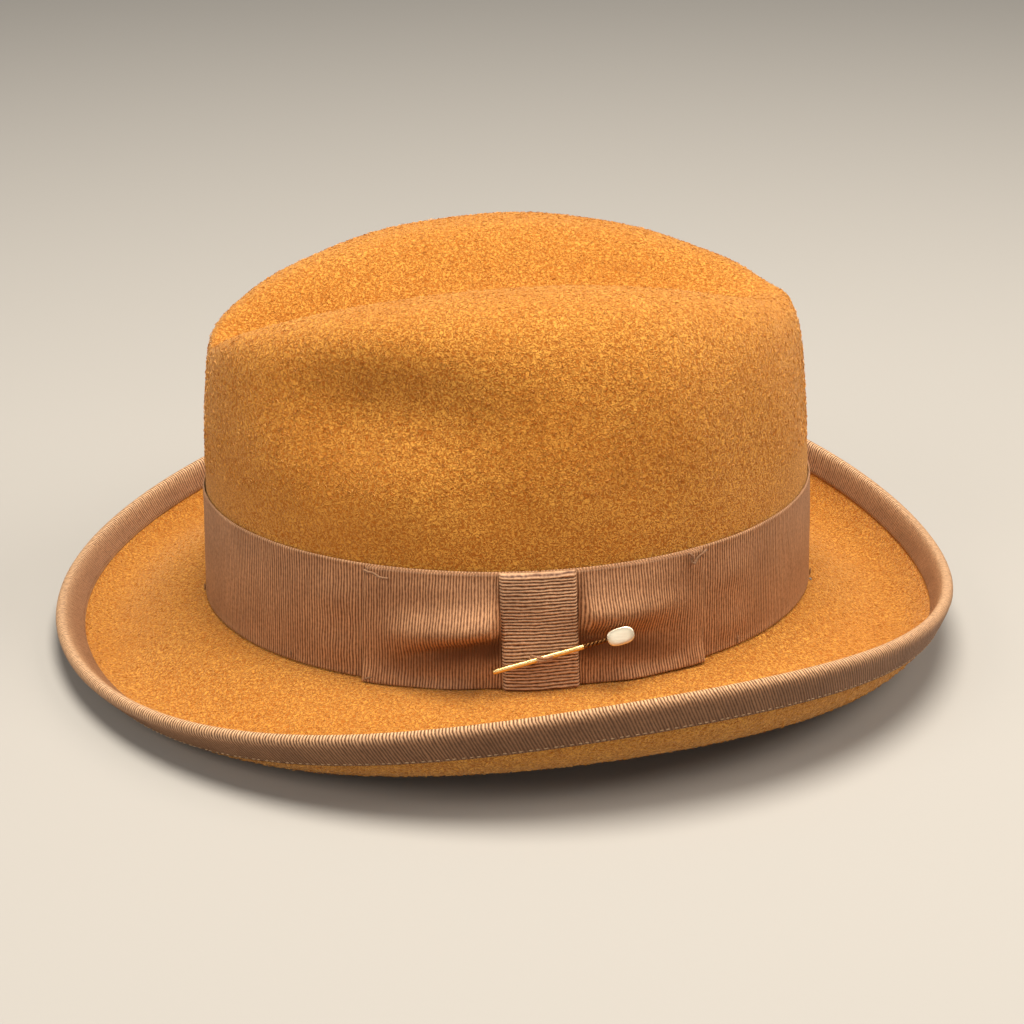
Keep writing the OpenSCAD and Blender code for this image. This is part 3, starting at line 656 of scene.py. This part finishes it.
FELT_FINISH = fur_felt()
TINTS = {"Light fibre": fibre("fur_fibre_light", "#e7b168"),
         "Middle fibre": fibre("fur_fibre_middle", "#cc8d35"),
         "Dark fibre": fibre("fur_fibre_dark", "#a86524")}
# The crown's top and the brim's upper face take a paler dark fibre: painted light, which lightens their lit
# outlines and top-lit face
BRIM_TINTS = {**TINTS, "Dark fibre": fibre("fur_fibre_brim", "#bb7e31")}
BAND_RIBBON = grosgrain("band_grosgrain", "#cb976d", "#633b21", "#c49a74", BAND_W, 0.95)
BINDING_RIBBON = grosgrain("binding_grosgrain", "#aa7a56", "#553319", "#e3b88e", BIND_W, 1.0)
KNOT_RIBBON = grosgrain("knot_grosgrain", "#e6b48a", "#4c260f", "#d2a883", KNOT_W + 2, KNOT_PITCH,
                        modelled=True)
SMALL_RIBBON = grosgrain("small_bow_grosgrain", "#b98663", "#6a432a", "#c39a78", 7.0, 0.9)
BIND_THREAD = sewing_thread("binding_thread_pale", "#ccab86", "#8e6c4a")
TACK_THREAD = sewing_thread("tack_thread_brown", "#a27a58", "#5c3d26")
LIFTED_RIB = sewing_thread("knot_rib_lifted", "#c8966c", "#6a4024")
KNOTTED_THREAD = sewing_thread("knotted_thread_grey", "#a39a8a", "#6b6458")
LEATHER_THREAD = sewing_thread("sweatband_thread_tan", "#c39a6a", "#7a5632")
GOLD = metal("gilt_brass_drawn", "#f6d794", "#c08e44", 0.28)
PALE_GOLD = metal("gilt_brass_polished", "#fff7e0", "#fdeec8", 0.38)
# The collar's wire is coloured dark brown all over
WOUND_WIRE = metal("gilt_wire_dark", "#7d5430", "#3c2412", 0.45)
LEATHER = sheep_leather("sheepskin_tan", "#a9713f", "#7f4f28")
SATIN = satin("lining_satin_gold", "#c9a263", "#8f6a35")
PIPING = satin("piping_satin_gold", "#b98f52", "#7d5a2c")
TAPE = plain_weave("cotton_tape_cream", "#e0d6c0", "#a99c80")
REED = plain_weave("reed_cane_cream", "#e8e0cc", "#b5a888")


# -------- pieces

def finish_piece(piece, slot, *nodes, body="hat"):
    """The piece stands for its CAD nodes and rides on a body; slot is not used."""
    if nodes:
        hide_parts(*nodes)
    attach(piece, body)
    return piece


COLUMNS = 300
RIM_ROWS, BRIM_ROWS, TURN_ROWS, WALL_ROWS, DISH_ROWS = 10, 32, 5, 54, 30
CROWN_ROW = RIM_ROWS + BRIM_ROWS + TURN_ROWS
RIDGE_ROW = CROWN_ROW + WALL_ROWS
LAST_ROW = RIDGE_ROW + DISH_ROWS
ALL_ROUND = full_turn(COLUMNS)


def felt_rows():
    """The middle of the felt as rows of points, from the rim to the crease."""
    a = ALL_ROUND
    inner_rim = back(a, BIND_TOP)
    rows = [brim(a, 1 - (1 - inner_rim) * k / RIM_ROWS, 0.0) for k in range(RIM_ROWS)]
    for k in range(BRIM_ROWS):
        s = inner_rim * (1 - k / BRIM_ROWS)
        sway = 0.35 * bell((s - 0.5) / 0.22) * drift(a * 1.8, 0 * a, 90, 8)
        rows.append(brim(a, s, sway))
    for k in range(TURN_ROWS):
        lie = 90 * k / TURN_ROWS
        rows.append(wall(a, BREAK_R * (1 - cosd(lie)), BREAK_R * (1 - sind(lie))))
    for k in range(WALL_ROWS):
        rise = sind(90 * k / WALL_ROWS) ** (2 / SHOULDER)
        rows.append(wall(a, BREAK_R + (ridge_z(a) - BREAK_R) * rise, 0.0))
    for k in range(DISH_ROWS + 1):
        rows.append(dish(a, k / DISH_ROWS))
    return np.array(rows)


def felt_sheet(name, first, last):
    """A stretch of the felt's middle, from one row to another, facing up and outwards."""
    rows = felt_rows()[first:last + 1]
    m = len(rows)
    number = np.arange(m * COLUMNS).reshape(m, COLUMNS)
    if last == LAST_ROW:
        # The two sides of the crown meet in the crease
        column = np.arange(COLUMNS)
        number[-1] = (m - 1) * COLUMNS + np.minimum(column, (COLUMNS - column) % COLUMNS)
    return mesh_piece(name, rows, bands(number, range(m - 1)), FELT_FINISH, outward=False)


def make_felt():
    piece = felt_sheet("felt_hood", 0, LAST_ROW)
    shell = piece.modifiers.new("thickness", "SOLIDIFY")
    shell.thickness, shell.offset, shell.use_even_offset = FELT * MM, 0, True
    finish_piece(solid_copy(piece), "felt", "felt_body")


def make_nap():
    """Fibres over the crown, the upper face of the brim and its lower face."""
    tree = nap_tree(list(TINTS))
    over_band, brim_end = CROWN_ROW + 14, RIM_ROWS + BRIM_ROWS
    # Name, first and last row, side of the felt, fibres in a square millimetre, their length in mm, tints
    stretches = (("crown_nap", over_band, RIDGE_ROW, OUTER, 0.62, 1.4, TINTS),
                 ("crown_top_nap", RIDGE_ROW, LAST_ROW, OUTER, 0.62, 1.4, BRIM_TINTS),
                 ("brim_nap", RIM_ROWS, brim_end, OUTER, 0.66, 1.15, BRIM_TINTS),
                 ("under_brim_nap", RIM_ROWS, brim_end, -OUTER, 0.45, 1.3, TINTS))
    for name, first, last, off, density, length, tints in stretches:
        piece = felt_sheet(name, first, last)
        mesh = piece.data
        place, square = np.empty((2, len(mesh.vertices) * 3))
        mesh.vertices.foreach_get("co", place)
        mesh.vertex_normals.foreach_get("vector", square)
        mesh.vertices.foreach_set("co", place + square * off * MM)
        if off < 0:
            mesh.flip_normals()
        mesh.materials.clear()
        grow(piece, tree, {"Density": density / len(TINTS) / MM**2, "Length": length * MM,
                           "Width": NAP_WIDTH * MM, "Lift": NAP_LIFT * MM, **tints})
        finish_piece(piece, "felt")


def make_binding():
    """Ribbon folded over the rim, with a row of stitches under it."""
    columns = full_turn(840)
    far, near = OUTER + 0.3 + RIBBON, OUTER + 0.1
    low = np.array([BIND_UNDER, BIND_UNDER - 0.1, BIND_UNDER - 0.6, 7.4, 6.0, 4.5, 3.0, 1.5, 0.6])
    high = np.array([0.6, 1.5, 3.0, 4.5, 6.0, 7.2, BIND_TOP - 0.5, BIND_TOP - 0.1, BIND_TOP])
    bulge = np.linspace(-75, 75, 9)

    def leg(length, side, off):
        return brim(columns, back(columns, length), side * off)

    def selvedge(inset):
        return far - 0.9 * (far - near) * bell(inset / 0.35)

    path = BIND_UNDER + far * math.pi
    outside = [leg(length, -1, selvedge(BIND_UNDER - length)) for length in low]
    outside += [brim(columns, 1.0, far * sind(angle), far * cosd(angle)) for angle in bulge]
    outside += [leg(length, 1, selvedge(BIND_TOP - length)) for length in high]
    inside = [leg(BIND_TOP, 1, near), leg(1.0, 1, near), brim(columns, 1.0, 0.0, 0.15),
              leg(1.0, -1, near), leg(BIND_UNDER, -1, near)]
    across = np.array([*(BIND_UNDER - low), *(BIND_UNDER + far * np.radians(bulge + 90)), *(path + high),
                       path + BIND_TOP, path + 1, path, BIND_UNDER - 1, 0])
    rings = np.stack(outside + inside, axis=1)
    rim = brim(columns, 1.0, 0.0)
    length = np.linalg.norm(rim - np.roll(rim, 1, axis=0), axis=1).sum()
    along = np.arange(len(columns) + 1) / len(columns) * round(length)
    # Its ribs lean where the ribbon is drawn round the rim. Painted light: a painted highlight pales its
    # fold, and painted shade darkens its under face
    lean = 0.45 * np.maximum(0, BIND_UNDER + 2.0 - across)
    painted_rim_light = bell((across - BIND_UNDER - 4.6) / 3.4) - 0.4 * ease((BIND_UNDER + 1 - across) / 3)
    binding = loft("rim_binding", rings, BINDING_RIBBON, weave_of(along[:, None] + lean, across, painted_rim_light), True)
    finish_piece(binding, "binding_ribbon", "brim_binding")

    def seam(a, extra):
        return brim(a, back(a, BIND_UNDER - 1.4), -(far + 0.05 + extra))

    angles = full_turn(400) + 0.12 * np.sin(np.arange(400) * 2.4)
    stitches("binding_stitches", row_frames(seam, angles), 1.25, BIND_THREAD, "binding_thread",
             "binding_thread", width=0.4, height=0.35)


def make_band():
    """The band lies round the crown, and its ends meet behind the bow."""
    join = turn(0.3)
    angles = np.linspace(BOW_AT + join, BOW_AT + 360 - join, 721)
    rows = edge_rows(BAND_LOW, BAND_LOW + BAND_W, 18)
    a, h = angles[:, None] % 360, rows[None, :]
    # The ribbon stands off a little above and below a dent by each end of the bow
    beside_bow = bell((a - 129.5) / 4.5) + bell((a - 54) / 4.5)
    dents = 0.7 * beside_bow * (bell((h - 27) / 5) + 0.8 * bell((h - 10) / 4))
    ripple = 0.12 * drift(a * 1.7, h, 40, 21)
    band = ribbon_on_wall("band_ribbon", angles, rows, BAND_OFF + np.maximum(0, dents + ripple), CLOTH,
                          BAND_RIBBON)
    finish_piece(band, "band_ribbon", "hat_band")


def loop_rise(u, h, side):
    """How far a bow loop's front face stands off its back, u from the knot's middle: a soft ridge that leaves
    the knot, a deep crease under it, and a lower edge that flares. Also the painted light there: a faint
    painted highlight over the ridge, and painted shade in the crease and along the top edge."""
    leave = ease((u - KNOT_W / 2 + 0.4) / 4.5)
    fade = 1 - ease((u - 20) / (LOOP_L - 18))
    if side > 0:
        ridge, crease = 24.0 - 0.16 * (u - 12), 14.0 - 0.2 * (u - 12)
        rise = 7.6 * fade * bell((h - ridge) / 6.4) + 0.9 * fade * bell((h - 33) / 5)
        sink = 7.5 * bell((h - crease) / 5.0) * (1 - ease((u - 24) / 24))
    else:
        ridge, crease = 25.5 - 0.06 * (u - 12), 13.5 - 0.2 * (u - 15)
        rise = 5.0 * fade * bell((h - ridge) / 5.6) + 0.8 * fade * bell((h - 33) / 5)
        sink = 4.6 * bell((h - crease) / 4.4) * (1 - ease((u - 28) / 24))
    flare = 1.6 * bell((h - LOOP_LOW) / 4.5) * ease((u - 13) / 18)
    sway = 0.2 * drift(u, h, 24, 14 + side)
    tied = ease((LOOP_TOP - h) / 5)
    # Painted light: a faint painted highlight above the ridge, painted shade in the crease under it and along
    # the top edge
    painted_light = 0.1 * bell((h - ridge - 2) / 4) - 0.95 * bell((h - crease - 1.5) / 4.6)
    painted_light = fade * painted_light * ease((u - 10) / 3) - 0.5 * bell((LOOP_TOP - h) / 0.5)
    return np.maximum(0.06, 0.2 + leave * (rise * tied + flare + sway - sink)), painted_light


def make_loop(name, side, node_name):
    """Ribbon doubled back on itself: up to the end along the band, round a fold, and back to the knot."""
    rows = edge_rows(LOOP_LOW, LOOP_TOP, 26)
    out = np.linspace(1.0, LOOP_L - 1.0, 90)
    rings, cloths = [], []
    for h in rows:
        inset = min(h - rows[0], rows[-1] - h)
        thin = CLOTH * math.sqrt(1 - (1 - min(1, max(0.05, inset / 0.3))) ** 2)
        rise, painted_light = loop_rise(out, h, side)
        back_off = LOOP_OFF - 0.3
        back_face = np.full_like(out, back_off)
        back_in = back_face + thin
        front_in = back_in + rise
        front = front_in + thin
        reach = LOOP_L + 0.12 * math.sin(h * 0.5) + 0.8 * bell((h - 17) / 11) - 0.6 * bell((h - LOOP_TOP) / 5)
        fold = [(reach - 0.5, front[-1] - 0.15), (reach, (front[-1] + back_off) / 2),
                (reach - 0.5, back_off + 0.15)]
        fold_in = [(reach - 0.9, back_in[-1] + 0.02), (reach - 0.7, (front_in[-1] + back_in[-1]) / 2),
                   (reach - 0.9, front_in[-1] - 0.02)]
        track = np.array([*zip(out, front), *fold, *zip(out[::-1], back_face), *zip(out, back_in), *fold_in,
                          *zip(out[::-1], front_in[::-1])])
        rings.append(wall(BOW_AT + side * turn(track[:, 0]), h, track[:, 1]))
        # Only the front face carries the painted highlight and painted shade
        wear_and_painted_light = np.zeros(len(track))
        wear_and_painted_light[:len(out)] = painted_light
        cloths.append(weave_of(track[:, 0], (h - LOOP_LOW) * BAND_W / (LOOP_TOP - LOOP_LOW), wear_and_painted_light))
    loop = loft(name, np.array(rings), BAND_RIBBON, np.array(cloths))
    finish_piece(loop, "bow_ribbon", node_name)


def make_knot():
    """The knot's ribbon wraps the middle of the bow, so its ribs lie level and end in its two selvedges."""
    across = np.linspace(-1, 1, 61)[:, None]
    heights = np.linspace(BAND_LOW - 0.9, BAND_LOW + BAND_W + 0.1, 300)
    u, h = across * KNOT_W / 2, heights[None, :]
    slant = 0.9 * (h - BAND_W / 2) / BAND_W * 2
    waver = 0.22 * drift(u * 0.9, h * 2.0, 26, 5) + 0.12 * drift(u * 1.6, h * 5.0, 11, 6)
    crest = (0.5 + 0.5 * np.sin((h + waver) * 2 * math.pi / KNOT_PITCH)) ** 0.7
    roll = np.sqrt(np.clip(1 - np.abs(across) ** 14, 0, 1))
    crown = 0.35 * (1 - across ** 2) + 0.3 * drift(u, h, 24, 9)
    selvedge = 0.25 * bell((np.abs(u) - KNOT_W / 2 + 0.9) / 0.5)
    ends_in = ease((h - heights[0]) / 1.2) * ease((heights[-1] - h) / 0.7)
    relief = KNOT_OFF - LOOP_OFF + 0.05 + crown + selvedge + 0.42 * crest
    outer = LOOP_OFF + 0.6 + relief * (0.35 + 0.65 * roll) * (0.3 + 0.7 * ends_in)
    serrated = 1 + 0.016 * crest * bell((np.abs(across) - 1) / 0.08)
    angle = BOW_AT + turn(u * serrated + slant)
    inner = KNOT_OFF - 0.1 - 1.2 * (1 - ends_in)
    face = weave_of(h, u + KNOT_W / 2 + 1.0, crest)
    cloth = np.concatenate([face, face[:, ::-1]], axis=1)
    knot = loft("bow_knot_ribbon", two_faces(angle, h, outer, inner), KNOT_RIBBON, cloth)
    finish_piece(knot, "bow_ribbon", "bow_knot")


def make_tacks():
    """Hand stitches that hold the band, and the bow's corners."""
    angles = np.array([14.0, 52, 140, 180, 220, 270, 316])
    frames = upright(angles, BAND_LOW + 2, BAND_OFF + RIBBON + 0.25)
    stitches("band_stitches", frames, 3.0, TACK_THREAD, "tack_thread", "band_tacks")
    corner = turn(LOOP_L - 2)
    angles = BOW_AT + np.array([corner, corner, -corner, -corner])
    heights = np.array([LOOP_LOW + 1.2, LOOP_TOP - 1.0] * 2)
    frames = upright(angles, heights, LOOP_OFF + 1.9)
    stitches("bow_stitches", frames, 3.0, TACK_THREAD, "tack_thread", "bow_tacks")
    frames = upright(np.array([14.2]), 0.9, 2.4)
    stitches("thread_knot", frames, 1.3, KNOTTED_THREAD, "tack_thread", width=1.2, height=1.2)
    # Loose ends of thread at three corners of the bow, as distances from the knot's middle and heights
    corners = {"rear_top": (-1, [(56, 39.4), (53.5, 38.0), (51.4, 35.9), (50.3, 36.3), (50.8, 38.2),
                                 (49.2, 39.6)]),
               "front_top": (1, [(55.5, 38.6), (53.0, 38.1), (50.5, 37.0), (47.5, 36.9)]),
               "front_foot": (1, [(55.8, 2.2), (53.2, 3.3), (50.6, 2.6)])}
    for name, (side, spots) in corners.items():
        spots = np.array(spots, float)
        steps = np.linspace(0, len(spots) - 1, 8 * len(spots))
        u, h = [np.interp(steps, np.arange(len(spots)), spots[:, k]) for k in (0, 1)]
        path = wall(BOW_AT + side * turn(u), h, LOOP_OFF + 2.0 + 0.25 * np.sin(steps * math.pi))
        finish_piece(tube(f"corner_thread_{name}", path, 0.4, TACK_THREAD, 8, (1.0, 0.2, 0.1)), "tack_thread")


def tube(name, path, radius, material, facets=12, square=(1.0, 0.0, 0.0)):
    """A round rod along a path, with a radius at each point and closed ends."""
    radius = np.broadcast_to(radius, len(path))
    run = unit(np.gradient(path, axis=0))
    first = unit(np.cross(run, square))
    second = np.cross(run, first)
    angle = np.arange(facets) * 2 * math.pi / facets
    rings = path[:, None] + radius[:, None, None] * (
        np.cos(angle)[None, :, None] * first[:, None] + np.sin(angle)[None, :, None] * second[:, None])
    return loft(name, rings, material, np.zeros((len(path), facets, 3)))


PIN_TIP = np.array([91.8805, -17.3646, 21.7852])
PIN_RUN = np.array([0.0, 0.973178, 0.23005])
PIN_UP = np.array([0.0, -0.23005, 0.973178])
PIN_OUT = np.array([1.0, 0.0, 0.0])
SHAFT_L, COLLAR_L, HEAD_L, HEAD_W, HEAD_T = 29.0, 7.5, 8.6, 5.4, 2.0
SHAFT_R, STRAND_R, STRAND_PITCH = 0.84, 0.4, 2.6
RIB_R, RIB_L = 0.46, 8.8


def make_pin():
    """Drawn shaft, wire-wound collar and flat oval head, which slide out of the keeper together."""
    t = np.linspace(0, SHAFT_L, 60)
    bow = 0.05 * np.sin(t * 0.45)
    path = PIN_TIP + t[:, None] * PIN_RUN + bow[:, None] * PIN_UP
    radius = SHAFT_R * np.clip(0.8 + t / 1.5, 0, 1) * (1 + 0.02 * np.sin(t * 1.7))
    finish_piece(tube("pin_rod", path, radius, GOLD), "gold", "pin_shaft", body="stick_pin")
    t = np.linspace(SHAFT_L + 0.1, SHAFT_L + COLLAR_L, 150)
    for k, nodes in enumerate((["pin_collar"], [])):
        angle = k * math.pi + t * 2 * math.pi / STRAND_PITCH
        swell = 0.42 + 0.06 * np.sin(t * 2.1 + k)
        path = (PIN_TIP + t[:, None] * PIN_RUN + (swell * np.cos(angle))[:, None] * PIN_OUT
                + (swell * np.sin(angle))[:, None] * PIN_UP)
        strand = tube(f"collar_strand_{k + 1}", path, STRAND_R, WOUND_WIRE, 8)
        finish_piece(strand, "collar_winding", *nodes, body="stick_pin")
    make_head()


def make_head():
    """An oval tablet with a flat face, a soft bevel and a slightly domed back."""
    centre = PIN_TIP + (SHAFT_L + COLLAR_L + HEAD_L / 2) * PIN_RUN
    angle = np.arange(64) * 2 * math.pi / 64
    squareness, lean = 2.7, 20
    face = cosd(lean) * PIN_OUT + sind(lean) * PIN_UP
    rise = cosd(lean) * PIN_UP - sind(lean) * PIN_OUT
    x, y = [np.sign(swing) * np.abs(swing) ** (2 / squareness) * size / 2
            for swing, size in ((np.cos(angle), HEAD_L), (np.sin(angle), HEAD_W))]
    # Share of its outline, and of its half thickness, from the back to the face
    profile = [(0.0, -1.0), (0.45, -0.97), (0.75, -0.85), (0.93, -0.5), (1.0, -0.05), (1.0, 0.4),
               (0.985, 0.6), (0.955, 0.73), (0.91, 0.8), (0.6, 0.86), (0.25, 0.88), (0.0, 0.88)]
    rings = np.array([centre + share * (x[:, None] * PIN_RUN + y[:, None] * rise) + level * HEAD_T / 2 * face
                      for share, level in profile])
    m, n = len(profile), len(angle)
    number = np.arange(m * n).reshape(m, n)
    # The first and last rows close to a point each
    number[0], number[-1] = 0, (m - 1) * n
    faces = [list(dict.fromkeys(face)) for face in bands(number, range(m - 1))]
    finish_piece(mesh_piece("pin_tablet", rings, faces, PALE_GOLD), "pale_gold", "pin_head", body="stick_pin")


def make_keeper():
    """Two ribs of the knot that are lifted over the shaft and hold it."""
    t = np.linspace(-1, 1, 31)
    middle = PIN_TIP + 16.5 * PIN_RUN
    for k, height in enumerate((-0.42, 0.42)):
        lift = 1.3 - 3.5 * t**2
        path = middle + np.stack([lift, RIB_L / 2 * t + 0.6 * height, height + 0.35 * t], axis=1)
        rib = tube(f"keeper_rib_{k + 1}", path, RIB_R, LIFTED_RIB, 10, (0.0, 0.0, 1.0))
        finish_piece(rib, "bow_ribbon", *(["knot_keeper"] if k == 0 else []))


def make_sweatband():
    """Leather turned over the reed at its foot, stitched there, and sewn up at the back under a small bow."""
    join, strip_off = turn(0.3), -4.75
    angles = np.linspace(join, 360 - join, 361)
    # Height and offset round the strip's section: its inner face, then its back
    face = [(-0.9, -3.86), (-1.15, -4.15), (-1.0, -4.6), (0.2, -4.92), (1.6, -4.95), (3.5, -4.8),
            (6.5, -4.1), (10, -3.65), (18, -3.6), (26, -3.6), (34, -3.6), (42, -3.6), (49, -3.6),
            (SWEAT_W, -3.5)]
    behind = [(SWEAT_W, -2.6), (49, -2.5), (42, -2.5), (34, -2.5), (26, -2.5), (18, -2.5), (10, -2.55),
              (6.5, -3.0), (3.5, -3.7), (1.6, -3.82), (0.2, -3.82), (-0.5, -3.82), (-0.7, -3.83),
              (-0.8, -3.84)]
    shape = np.array(face + behind)
    a = angles[:, None]
    h, off = shape[None, :, 0], shape[None, :, 1]
    high = ease((h - 12) / 20)
    push = -0.45 * high * (0.5 + 0.5 * drift(a * DEGREE_L, h, 60, 31))
    push = push - 0.5 * ease((h - 40) / 12) * (0.5 + 0.5 * drift(a * DEGREE_L, 0 * h, 45, 32))
    top = 0.5 * ease((h - 46) / 6) * drift(a * DEGREE_L, 0 * h, 70, 33)
    rings = wall(a, h + top, off + push)
    strip = loft("sweatband_leather_strip", rings, LEATHER, weave_of(a * DEGREE_L, h))
    finish_piece(strip, "sweatband_leather", "sweatband")

    def foot_row(a, extra):
        return wall(a, 2.0, strip_off - 0.3 - extra)

    frames = row_frames(foot_row, full_turn(190) + 0.9)
    stitches("sweatband_stitches", frames, 2.3, LEATHER_THREAD, "leather_thread", "sweatband_thread")
    angles = np.linspace(-turn(6), turn(6), 25)
    rows = edge_rows(11, SWEAT_W - 2, 14)
    finish_piece(ribbon_on_wall("sweatband_back_strip", angles, rows, strip_off, 0.6, LEATHER),
                 "sweatband_leather", "sweatband_seam")
    heights = np.arange(12.5, SWEAT_W - 3, 3.1)
    for k, edge in enumerate((-4.6, 4.6)):
        frames = upright(turn(edge), heights, strip_off - 0.1, facing=-1)
        stitches(f"back_strip_stitches_{k + 1}", frames, 2.2, LEATHER_THREAD, "leather_thread")


def make_small_bow():
    """Two flat loops of narrow ribbon and a knot, over the back seam."""
    rows = np.linspace(0, 1, 9)
    middle, base = 16.5, -5.25
    both = there_and_back(rows)
    for k, side in enumerate((-1, 1)):
        u = np.linspace(1.6, 11, 22)[:, None]
        h = middle + (rows - 0.5) * 7 * (0.55 + 0.45 * ease((u - 1.6) / 4))
        thick = (0.35 + 0.8 * bell((u - 6) / 3.5)) * np.sqrt(1 - (2 * rows - 1) ** 2 * 0.9)
        rings = two_faces(side * turn(u), h, base - 2 * thick, base)
        piece = loft(f"small_bow_loop_{k + 1}", rings, SMALL_RIBBON, weave_of(u, both * 7))
        finish_piece(piece, "small_bow_ribbon", *(["sweatband_bow"] if k == 0 else []))
    u = np.linspace(-1.7, 1.7, 13)[:, None]
    h = middle + (rows - 0.5) * 8
    thick = 1.9 * np.sqrt(1 - (u / 1.9) ** 2) * np.sqrt(1 - (2 * rows - 1) ** 2 * 0.85)
    rings = two_faces(turn(u), h, base - thick, base)
    knot = loft("small_bow_knot", rings, SMALL_RIBBON, weave_of(both * 8, u + 3.5))
    finish_piece(knot, "small_bow_ribbon")


def make_lining():
    """Satin wall, gathered into the piping above, and an oval tip that sags from the piping."""
    a = ALL_ROUND[:, None]
    heights = np.array([40, 46, 52, 55, 58, 61, 64, 67, 70, 73, 75, 76.5, 77.4, LINING_H])
    h = heights[None, :]
    drop = ease((h - 53) / 8)
    wave = np.sin(np.radians(a * GATHERS) + 1.3 * drift(a * DEGREE_L, h, 30, 41))
    gather = 0.75 * ease((h - 56) / 20) * (0.5 + 0.5 * wave)
    off = -2.2 - PINCH_DEPTH * drop + pinch(a, h) * drop - gather
    lengths = np.radians(np.append(ALL_ROUND, 360) * 92)[:, None]
    cloth = weave_of(lengths, there_and_back(heights))
    side = loft("lining_wall", two_faces(a, h, off, off + 0.4), SATIN, cloth, True)
    finish_piece(side, "lining_satin", "lining_side")

    def hang(a, height, off):
        return wall(a, height, off - PINCH_DEPTH + pinch(a, height))

    ring = full_turn(10)
    rings = hang(a, PIPING_H + 1.2 * sind(ring), -2.2 - 1.2 * cosd(ring))
    piping = loft("lining_cord_piping", rings, PIPING, weave_of(lengths, ring / 360 * 7.5), True)
    finish_piece(piping, "piping_satin", "lining_piping")
    edge = hang(ALL_ROUND, PIPING_H, -3.7)
    middle = hang(np.array([0.0, 180.0]), PIPING_H, -3.7).mean(axis=0)
    pucker = 0.5 * np.sin(np.radians(ALL_ROUND * GATHERS))
    shares = np.linspace(1, 0, 26)[:-1]
    rows = []
    for under, steps in ((0.0, shares), (0.4, shares[::-1])):
        for share in steps:
            row = middle + share * (edge - middle)
            row[:, 2] -= 3.0 * (1 - share**2) + under + pucker * bell((share - 0.93) / 0.09)
            rows.append(row)
    m, half = len(rows), len(shares)
    number = np.arange(m * COLUMNS).reshape(m, COLUMNS)
    faces = bands(number, [*range(half - 1), *range(half, m - 1), -1])
    faces += [number[half - 1].tolist(), number[half][::-1].tolist()]
    corners = np.array(rows).reshape(-1, 3)[np.concatenate(faces)] * (1, 1, 0)
    tip = mesh_piece("lining_oval_tip", rows, faces, SATIN, corners)
    finish_piece(tip, "lining_satin", "lining_tip")


def finish_cad_nodes():
    """The reed and its tape keep their CAD shape."""
    for name, material in (("sweatband_reed", REED), ("reed_tape", TAPE)):
        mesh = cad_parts[name].data
        mesh.materials.clear()
        mesh.materials.append(material)


# -------- camera, floor and light

def make_camera():
    """The camera looks at the bow side from a little above."""
    azimuth, elevation, distance = 81, 22.43, 0.8784
    level = cosd(elevation)
    away = Vector((sind(azimuth) * level, -cosd(azimuth) * level, sind(elevation)))
    right = Vector((cosd(azimuth), sind(azimuth), 0))
    target = Vector((0, 0.002, 0.0363)) + 0.001086 * right
    camera = add_object("camera", bpy.data.cameras.new("camera"))
    camera.data.lens, camera.data.sensor_width = 91.4, 36
    camera.location = target + away * distance
    camera.rotation_euler = away.to_track_quat("Z", "Y").to_euler()
    bpy.context.scene.camera = camera


def area_light(name, place, target, size, power, code):
    disk = bpy.data.lights.new(name, "AREA")
    disk.shape, disk.size, disk.energy, disk.color = "DISK", size, power, srgb(code)[:3]
    light = add_object(name, disk)
    light.location = place
    light.rotation_euler = (Vector(place) - Vector(target)).to_track_quat("Z", "Y").to_euler()


def make_stage():
    """A plain pale floor, with broad lights above, in front and behind, and a small one on the bow."""
    mesh = bpy.data.meshes.new("floor")
    reach, below = 12, -0.0003
    corners = [(x * reach, y * reach, below) for x, y in ((-1, -1), (1, -1), (1, 1), (-1, 1))]
    mesh.from_pydata(corners, [], [(0, 1, 2, 3)])
    mesh.materials.append(new_material("floor_paint", Roughness=0.9, Base_Color=srgb("#a5a4a2"))[0])
    add_object("floor", mesh)
    crown = (0, 0, 0.05)
    area_light("key", (0.0, 0.06, 1.3), crown, 0.8, 27.8, "#fff4e4")
    area_light("front_fill", (0.55, -0.95, 0.75), crown, 0.8, 6.0, "#fff2e2")
    area_light("rear_fill", (0.4, 0.95, 0.9), crown, 0.8, 9.5, "#fff2e2")
    area_light("pin_glint", (1.3, -0.02, 0.41), (0.1, 0, 0.04), 0.45, 1.35, "#fff9ee")
    world = bpy.data.worlds.new("studio")
    world.use_nodes = True
    surround = world.node_tree.nodes["Background"]
    surround.inputs["Color"].default_value = srgb("#f2f0ec")
    surround.inputs["Strength"].default_value = 0.2
    bpy.context.scene.world = world
    bpy.context.scene.view_settings.view_transform = "Standard"


make_camera()
make_felt()
make_binding()
make_band()
make_loop("bow_front_ribbon", 1, "bow_front_loop")
make_loop("bow_rear_ribbon", -1, "bow_rear_loop")
make_knot()
make_tacks()
make_keeper()
make_pin()
make_sweatband()
make_small_bow()
make_lining()
make_nap()
finish_cad_nodes()
make_stage()
